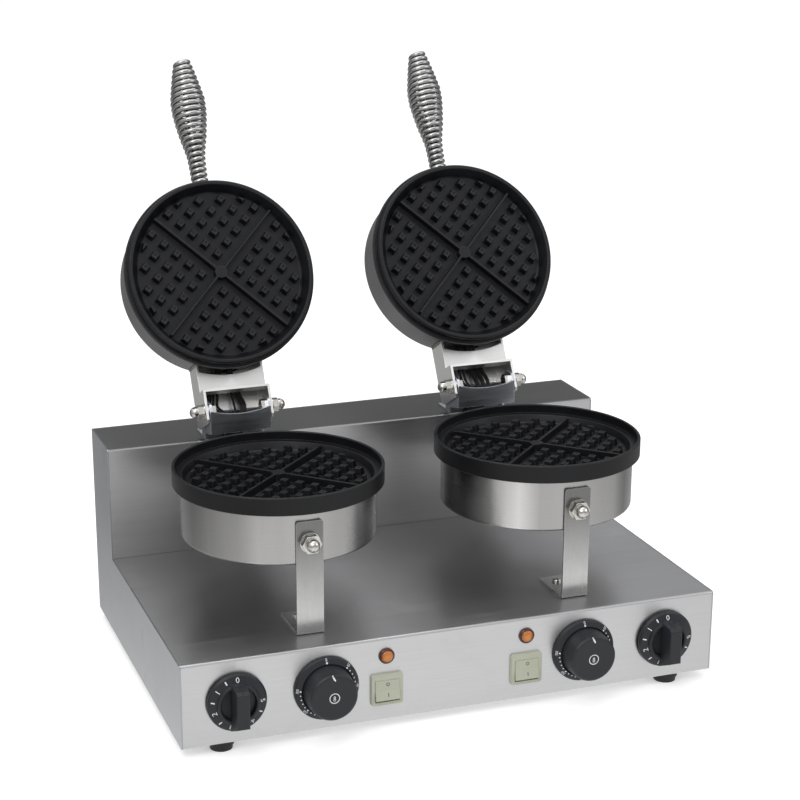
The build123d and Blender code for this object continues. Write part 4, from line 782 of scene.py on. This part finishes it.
def lead_path(side, slot_x, bracket_x, shell_x):
    """From the tower slot, up through the bracket, into the shell's lead hole."""
    unit_x = UNIT[side].x
    hole_x = max(-LEAD_HOLE_X, min(LEAD_HOLE_X, shell_x * 0.55))
    return catmull([
        Vector((unit_x + slot_x, LEAD_SLOT_Y, 0.202)),
        Vector((unit_x + slot_x, LEAD_SLOT_Y, 0.2235)),
        Vector((unit_x + (slot_x + bracket_x) / 2, 0.1065, 0.2310)),
        on_lid(side, bracket_x, 0.1340, 0.0500),
        on_lid(side, (bracket_x + shell_x) / 2, 0.1230, 0.0500),
        on_lid(side, shell_x, 0.1120, 0.0490),
        on_lid(side, (shell_x + hole_x) / 2, 0.1030, 0.0470),
        on_lid(side, hole_x, 0.0960, 0.0460),
        on_lid(side, hole_x, 0.0880, 0.0460),
    ], steps=9)


def build_leads(side):
    for number, (slot_x, bracket_x, shell_x, radius) in enumerate(LEADS[side], 1):
        path = lead_path(side, slot_x, bracket_x, shell_x)
        bm = bmesh.new()
        add_tube(bm, path, [radius] * len(path), segments=12)
        lead = new_object(f"lid_lead_{side}_{number}", bm, MATERIALS["braid"])
        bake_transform(lead)


for side in SIDES:
    build_leads(side)

# ---------------------------------------------------------------- flat shapes for printing
# Each shape is (2D points, faces as point numbers).


def text_shape(body, height, stretch=1.0):
    """Text centred on the origin, scaled to the height and widened by the stretch."""
    curve = bpy.data.curves.new("t", "FONT")
    curve.body = body
    curve.align_x = "CENTER"
    curve.size = 1.0
    curve.resolution_u = 4
    obj = bpy.data.objects.new("t", curve)
    scene.collection.objects.link(obj)
    bpy.context.view_layer.update()
    depsgraph = bpy.context.evaluated_depsgraph_get()
    mesh = bpy.data.meshes.new_from_object(obj.evaluated_get(depsgraph))
    xs = [v.co.x for v in mesh.vertices]
    ys = [v.co.y for v in mesh.vertices]
    faces = [tuple(polygon.vertices) for polygon in mesh.polygons]
    bpy.data.objects.remove(obj)
    bpy.data.meshes.remove(mesh)
    scale = height / (max(ys) - min(ys))
    middle_x, middle_y = (max(xs) + min(xs)) / 2, (max(ys) + min(ys)) / 2
    points = [Vector(((x - middle_x) * scale * stretch, (y - middle_y) * scale))
              for x, y in zip(xs, ys)]
    return points, faces


def fan(points):
    """Triangles from the outline to a point at the origin."""
    count = len(points)
    return points + [Vector((0, 0))], [(i, (i + 1) % count, count) for i in range(count)]


def bar(width, height, steps=5):
    """Upright stroke with round ends."""
    radius = width / 2
    points = []
    for start, end_y in ((0.0, height / 2 - radius), (math.pi, -(height / 2 - radius))):
        for k in range(steps + 1):
            a = start + math.pi * k / steps
            points.append(Vector((radius * math.cos(a), end_y + radius * math.sin(a))))
    return fan(points)


def circle(radius, count):
    angles = [2 * math.pi * k / count for k in range(count)]
    return [Vector((radius * math.cos(a), radius * math.sin(a))) for a in angles]


def dot(radius, count=20):
    return fan(circle(radius, count))


def strip(pairs, closed=False):
    """Band of quads between successive pairs of points."""
    count = len(pairs)
    faces = []
    for k in range(count if closed else count - 1):
        after = (k + 1) % count
        faces.append((2 * k, 2 * k + 1, 2 * after + 1, 2 * after))
    return [point for pair in pairs for point in pair], faces


def ring(inner, outer, count=48):
    return strip(list(zip(circle(inner, count), circle(outer, count))), closed=True)


def stroke(points, widths):
    """Curved stroke with one width per point."""
    points = [Vector(p) for p in points]
    pairs = []
    for i, point in enumerate(points):
        ahead = points[min(i + 1, len(points) - 1)]
        tangent = (ahead - points[max(i - 1, 0)]).normalized()
        offset = Vector((-tangent.y, tangent.x)) * widths[i] / 2
        pairs.append((point + offset, point - offset))
    return strip(pairs)


# ---------------------------------------------------------------- printing on a curved face

PRINT_SINK = 0.00003  # how far the print's underside lies below the face


class Print:
    """Thin raised print; place(u, w, lift) gives the point over a face."""

    def __init__(self, place, thickness=0.00007):
        self.place = place
        self.thickness = thickness
        self.bm = bmesh.new()

    def shape(self, shape, u=0.0, w=0.0):
        points, faces = shape
        shift = Vector((u, w))
        points = [point + shift for point in points]
        top, low = [
            [self.bm.verts.new(self.place(p.x, p.y, lift)) for p in points]
            for lift in (self.thickness, -PRINT_SINK)]
        edges = {}
        for face in faces:
            # guards against a letter whose outline fills with a repeated or degenerate face
            try:
                self.bm.faces.new([top[i] for i in face])
                self.bm.faces.new([low[i] for i in reversed(face)])
            except ValueError:
                continue
            edges.update(dict.fromkeys(zip(face, face[1:] + face[:1])))
        for a, b in edges:
            if (b, a) not in edges:
                self.bm.faces.new((top[b], top[a], low[a], low[b]))

    def polar(self, shape, angle, radius):
        """Place a shape at an angle in degrees and a radius, its top pointing outward."""
        points, faces = shape
        a = math.radians(angle)
        cos, sin = math.cos(a - math.pi / 2), math.sin(a - math.pi / 2)
        origin = Vector((radius * math.cos(a), radius * math.sin(a)))
        turned = [origin + Vector((p.x * cos - p.y * sin, p.x * sin + p.y * cos))
                  for p in points]
        self.shape((turned, faces))

    def done(self, name, material, body):
        obj = new_object(name, self.bm, MATERIALS[material], smooth=False)
        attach(obj, body)


def profile_height(profile, radius):
    """Height of a turned profile, level beyond its two ends."""
    radius = max(profile[0][0], radius)
    for (r0, h0), (r1, h1) in zip(profile, profile[1:]):
        if radius <= r1:
            return h0 + (h1 - h0) * (radius - r0) / (r1 - r0)
    return profile[-1][1]


def turned_face(joint_name, profile):
    """Placing function for a turned face that looks to -Y round a joint."""
    axis = joint_point(joint_name)

    def place(u, w, lift):
        height = profile_height(profile, math.hypot(u, w))
        return Vector((axis.x + u, FACE_Y - height - lift, axis.z + w))

    return place


# Turned faces as (radius, height in front of the front panel)
TIMER_PROFILE = [
    (0.0, 0.0066), (0.0166, 0.0066), (0.0172, 0.0106), (0.0180, 0.0112), (0.0198, 0.0112),
    (0.0206, 0.0106), (0.0212, 0.0082), (0.0276, 0.0060), (0.0290, 0.0042)]
DIAL_PROFILE = [(0.0254, 0.0060), (0.0262, 0.0066), (0.0310, 0.0044), (0.0320, 0.0030)]
CAP_PROFILE = [(0.0, 0.0252), (0.0204, 0.0260), (0.0220, 0.0256), (0.0240, 0.023314)]

# ---------------------------------------------------------------- timer knob


def print_timer(side):
    """Numbers 0 to 5 with a stroke between each two."""
    marks = Print(turned_face("timer_turn_" + side, TIMER_PROFILE))
    for i in range(11):
        angle = 90 + 27.0 * i
        if i % 2 == 0:
            number = text_shape(str(i // 2), height=0.0047, stretch=1.15)
            marks.polar(number, angle, radius=0.0240)
        else:
            marks.polar(bar(width=0.0013, height=0.0038), angle, radius=0.0246)
    marks.done("timer_print_" + side, "ink_white", "timer_" + side)


# Ridge stations: (height in front of the panel, height above the axis, lift of the crest)
POINTER_SPINE = [
    (0.0086, 0.02015, 0.0004), (0.0150, 0.01955, 0.0008), (0.0234, 0.0188, 0.0008),
    (0.0252, 0.0176, 0.0006), (0.0269, 0.0164, 0.0001)]


def build_pointer(side):
    """Ridge along the upper end of the timer's grip bar and over its front edge."""
    axis = joint_point("timer_turn_" + side)
    bm = bmesh.new()
    rows = []
    for k, (out, up, lift) in enumerate(POINTER_SPINE):
        half_width = 0.0011 - 0.0001 * k
        outward = Vector((0, -0.35 if k >= 2 else -0.08, 1.0)).normalized()
        station = Vector((axis.x, FACE_Y - out, axis.z + up))
        rows.append([
            bm.verts.new(station + Vector((-half_width, 0, 0)) - outward * 0.0003),
            bm.verts.new(station + outward * lift),
            bm.verts.new(station + Vector((half_width, 0, 0)) - outward * 0.0003),
            bm.verts.new(station - outward * 0.0009)])
    for row, following in zip(rows, rows[1:]):
        for i in range(4):
            j = (i + 1) % 4
            bm.faces.new((row[i], row[j], following[j], following[i]))
    bm.faces.new(rows[0][::-1])
    bm.faces.new(rows[-1])
    pointer = new_object("timer_pointer_" + side, bm, MATERIALS["black"], smooth=False)
    bevel = pointer.modifiers.new("soft", "BEVEL")
    bevel.width, bevel.segments = 0.0002, 2
    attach(pointer, "timer_" + side)


# ---------------------------------------------------------------- thermostat

ZERO_ANGLE = 92
SCALE_START, SCALE_STEP = 46.0, 9.2  # degrees; the scale runs clockwise
DOTS_PER_NUMBER = 5
TEMPERATURES = ("50", "100", "150", "200", "250", "300")
SYMBOL_U, SYMBOL_W = 0.0001, -0.0004  # centre of the symbol on the cap


def print_dial(side):
    """Fixed skirt: a zero, then a dotted scale with a larger dot at each number."""
    marks = Print(turned_face("thermostat_turn_" + side, DIAL_PROFILE))
    marks.polar(dot(0.00095), ZERO_ANGLE, radius=0.0275)
    marks.polar(text_shape("0", height=0.0026), ZERO_ANGLE, radius=0.0302)
    for k in range(DOTS_PER_NUMBER * len(TEMPERATURES) - 4):
        size = 0.00085 if k % DOTS_PER_NUMBER == 0 else 0.00062
        marks.polar(dot(size, 14), SCALE_START - SCALE_STEP * k, radius=0.0274)
    for i, label in enumerate(TEMPERATURES):
        angle = SCALE_START - SCALE_STEP * (DOTS_PER_NUMBER * i)
        marks.polar(text_shape(label, height=0.0023), angle, radius=0.0301)
    marks.done("thermostat_dial_print_" + side, "ink_white", "chassis")


def print_cap(side):
    """A small thermometer inside a ring, and a tapered pointer stroke near the rim."""
    marks = Print(turned_face("thermostat_turn_" + side, CAP_PROFILE))
    marks.shape(ring(0.0044, 0.0052), SYMBOL_U, SYMBOL_W)
    marks.shape(ring(0.0008, 0.0013, 24), SYMBOL_U, SYMBOL_W - 0.0016)
    marks.shape(ring(0.00055, 0.00100, 24), SYMBOL_U, SYMBOL_W + 0.0012)
    for u in (-0.0008, 0.0008):
        marks.shape(stroke([(u, -0.0006), (u, 0.0008)], [0.0004] * 2), SYMBOL_U, SYMBOL_W)
    arc = [(-0.0016 + 0.0026 * (k / 8) ** 1.4, 0.0229 - 0.0056 * k / 8) for k in range(9)]
    marks.shape(stroke(arc, [0.0010 + 0.0007 * math.sin(math.pi * k / 8) for k in range(9)]))
    marks.done("thermostat_cap_print_" + side, "ink_white", "thermostat_" + side)


# ---------------------------------------------------------------- rocker switch

ROCKER_SLOPE = math.radians(8.0)  # each half of the rocker's front leans forward by this
ROCKER_TILT = -ROCKER_SLOPE
ROCKER_DEPTH = 0.0072  # pivot to the valley between the two halves


def print_rocker(side):
    """O and I on the rocker, laid on its two tilted faces."""
    pivot = joint_point("rocker_tilt_" + side)
    cos, sin = math.cos(ROCKER_TILT), math.sin(ROCKER_TILT)

    def place(u, w, lift):
        y = -(ROCKER_DEPTH + math.tan(ROCKER_SLOPE) * abs(w) + lift)
        return Vector((pivot.x + u, pivot.y + y * cos - w * sin, pivot.z + y * sin + w * cos))

    marks = Print(place, thickness=0.00006)
    marks.shape(ring(0.0011, 0.0018, 32), u=0.0004, w=0.0058)
    marks.shape(bar(width=0.0009, height=0.0038), u=0.0006, w=-0.0048)
    marks.done("rocker_print_" + side, "ink_grey", "rocker_" + side)


for side in SIDES:
    print_timer(side)
    build_pointer(side)
    print_dial(side)
    print_cap(side)
    print_rocker(side)

# ---------------------------------------------------------------- weld beads

SHELL_RADIUS = 0.0975
WELD_START, WELD_LENGTH = 0.0335, 0.0245  # along the lid's local z
WELD_POINTS = 46


def build_welds(side):
    """Two uneven beads where the lid bracket meets its shell."""
    low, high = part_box("lid_bracket_" + side)
    half_width = (high.x - low.x) / 2
    last = WELD_POINTS - 1
    bm = bmesh.new()
    for hand in (-1, 1):
        x = hand * (half_width + 0.0003)
        y = math.sqrt(SHELL_RADIUS * SHELL_RADIUS - x * x)
        path, radii = [], []
        for k in range(WELD_POINTS):
            wobble = math.sin(k * 1.37) * 0.00012 + math.sin(k * 0.61 + hand) * 0.00010
            path.append(on_lid(side, x + hand * 0.0002 + wobble, y + 0.0004,
                               WELD_START + WELD_LENGTH * k / last))
            end_taper = 0.0007 if k in (0, last) else 0.0
            radii.append(0.00105 + 0.00022 * math.sin(k * 2.1) - end_taper)
        add_tube(bm, path, radii, segments=10)
    beads = new_object("weld_beads_" + side, bm, MATERIALS["weld"])
    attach(beads, "lid_" + side)


for side in SIDES:
    build_welds(side)

# ---------------------------------------------------------------- floor

FLOOR_HALF_SIZE = 14.0
FLOOR_LIFT = 0.34  # extra light the camera sees on the floor
FLOOR_REFLECTED = 1.12  # brightness of the floor as polished metal sees it


def floor_material():
    """Pale floor, lifted for the camera; polished metal sees a soft gradient instead."""
    g = material_graph("studio_floor")
    p = g.coords()
    patches = g.noise(p, scale=3.0, detail=2.0)
    color = g.ramp(patches, [(0.3, (0.84, 0.84, 0.84)), (0.7, (0.87, 0.87, 0.87))])
    paint = g.principled(color=color, rough=0.75, spec=0.15)
    lifted = g.node("ShaderNodeAddShader")
    g.put_all(lifted, (paint, g.emission(FLOOR_LIFT)))
    ray = g.node("ShaderNodeLightPath").outputs
    shown = g.mix_shader(ray["Is Camera Ray"], paint, lifted.outputs[0])
    x, y, _ = g.split(p)
    fade_x = g.mul(g.remap(x, source=(-1.2, -0.2), to=(0.40, 1.0)),
                   g.remap(x, source=(0.2, 1.4), to=(1.0, 0.40)))
    fade_y = g.remap(y, source=(-0.3, 0.5), to=(1.0, 0.45))
    reflected = g.emission(g.mul(g.mul(fade_x, fade_y), FLOOR_REFLECTED))
    return g.finish(g.mix_shader(ray["Is Glossy Ray"], shown, reflected))


def build_floor():
    bm = bmesh.new()
    bmesh.ops.create_grid(bm, x_segments=1, y_segments=1, size=FLOOR_HALF_SIZE)
    for vert in bm.verts:
        vert.co.z = CAD_BOX[0].z
    new_object("studio_floor", bm, floor_material(), smooth=False)


build_floor()

# ---------------------------------------------------------------- world and lights


def build_world():
    """Bright tent in front and above, darker wall behind that lightens upward."""
    world = bpy.data.worlds.new("studio")
    scene.world = world
    g = Graph(world, output="ShaderNodeOutputWorld")
    x, y, z = g.split(g.coords("Generated"))
    up = g.remap(z, source=(0.25, 0.75), smooth=True)
    behind = g.remap(y, source=(-0.25, 0.75), smooth=True)
    left = g.remap(x, source=(0.6, -0.6), smooth=True)
    wall = g.remap(z, source=(0.22, 0.50), to=(0.13, 0.40), smooth=True)
    front_level, top_level, left_level = 0.46, 0.50, 0.08
    level = g.add(g.mul(g.sub(1.0, behind), front_level), g.mul(behind, wall),
                  g.mul(up, top_level), g.mul(left, left_level))
    # the camera sees at least full white
    camera_ray = g.node("ShaderNodeLightPath").outputs["Is Camera Ray"]
    background = g.node("ShaderNodeBackground")
    g.put(background.inputs["Strength"], g.math("MAXIMUM", level, camera_ray))
    background.inputs["Color"].default_value = (0.985, 0.99, 1.0, 1.0)
    g.finish(background.outputs[0])


def softbox(name, location, target, size, power, color=(1, 1, 1)):
    """Square area light aimed at a target."""
    light = bpy.data.lights.new(name, "AREA")
    light.energy, light.color = power, color
    light.shape = "RECTANGLE"
    light.size, light.size_y = size, size
    obj = bpy.data.objects.new(name, light)
    scene.collection.objects.link(obj)
    obj.location = location
    obj.rotation_mode = "QUATERNION"
    obj.rotation_quaternion = (Vector(target) - Vector(location)).to_track_quat("-Z", "Y")


build_world()
softbox("key_softbox", location=(-1.3, -1.5, 2.1), target=(0, 0, 0.15), size=1.4, power=20.0,
        color=(1.0, 0.99, 0.97))
softbox("fill_softbox", location=(1.9, -1.2, 1.3), target=(0, 0, 0.15), size=1.2, power=8.0,
        color=(0.97, 0.985, 1.0))
softbox("top_softbox", location=(0.0, 0.3, 2.4), target=(0, 0, 0.1), size=1.8, power=13.0)

# ---------------------------------------------------------------- camera

CAMERA_PLACE = (-0.65218, -1.75602, 0.82677)
CAMERA_YAW = math.radians(17.14)  # from +Y towards +X
CAMERA_PITCH = math.radians(-17.73)
CAMERA_ROLL = math.radians(-0.82)


def build_camera():
    lens = bpy.data.cameras.new("camera")
    camera = bpy.data.objects.new("camera", lens)
    scene.collection.objects.link(camera)
    scene.camera = camera
    lens.sensor_fit = "HORIZONTAL"
    lens.sensor_width = 36.0
    lens.lens = 86.49
    lens.shift_x, lens.shift_y = 0.1396, 0.0398
    lens.clip_start, lens.clip_end = 0.05, 60.0
    forward = Vector((math.sin(CAMERA_YAW) * math.cos(CAMERA_PITCH),
                      math.cos(CAMERA_YAW) * math.cos(CAMERA_PITCH),
                      math.sin(CAMERA_PITCH)))
    level_right = Vector((math.cos(CAMERA_YAW), -math.sin(CAMERA_YAW), 0))
    level_up = level_right.cross(forward)
    cos, sin = math.cos(CAMERA_ROLL), math.sin(CAMERA_ROLL)
    right = level_right * cos + level_up * sin
    up = -level_right * sin + level_up * cos
    camera.matrix_world = placed_axes(right, up, -forward, Vector(CAMERA_PLACE))


build_camera()
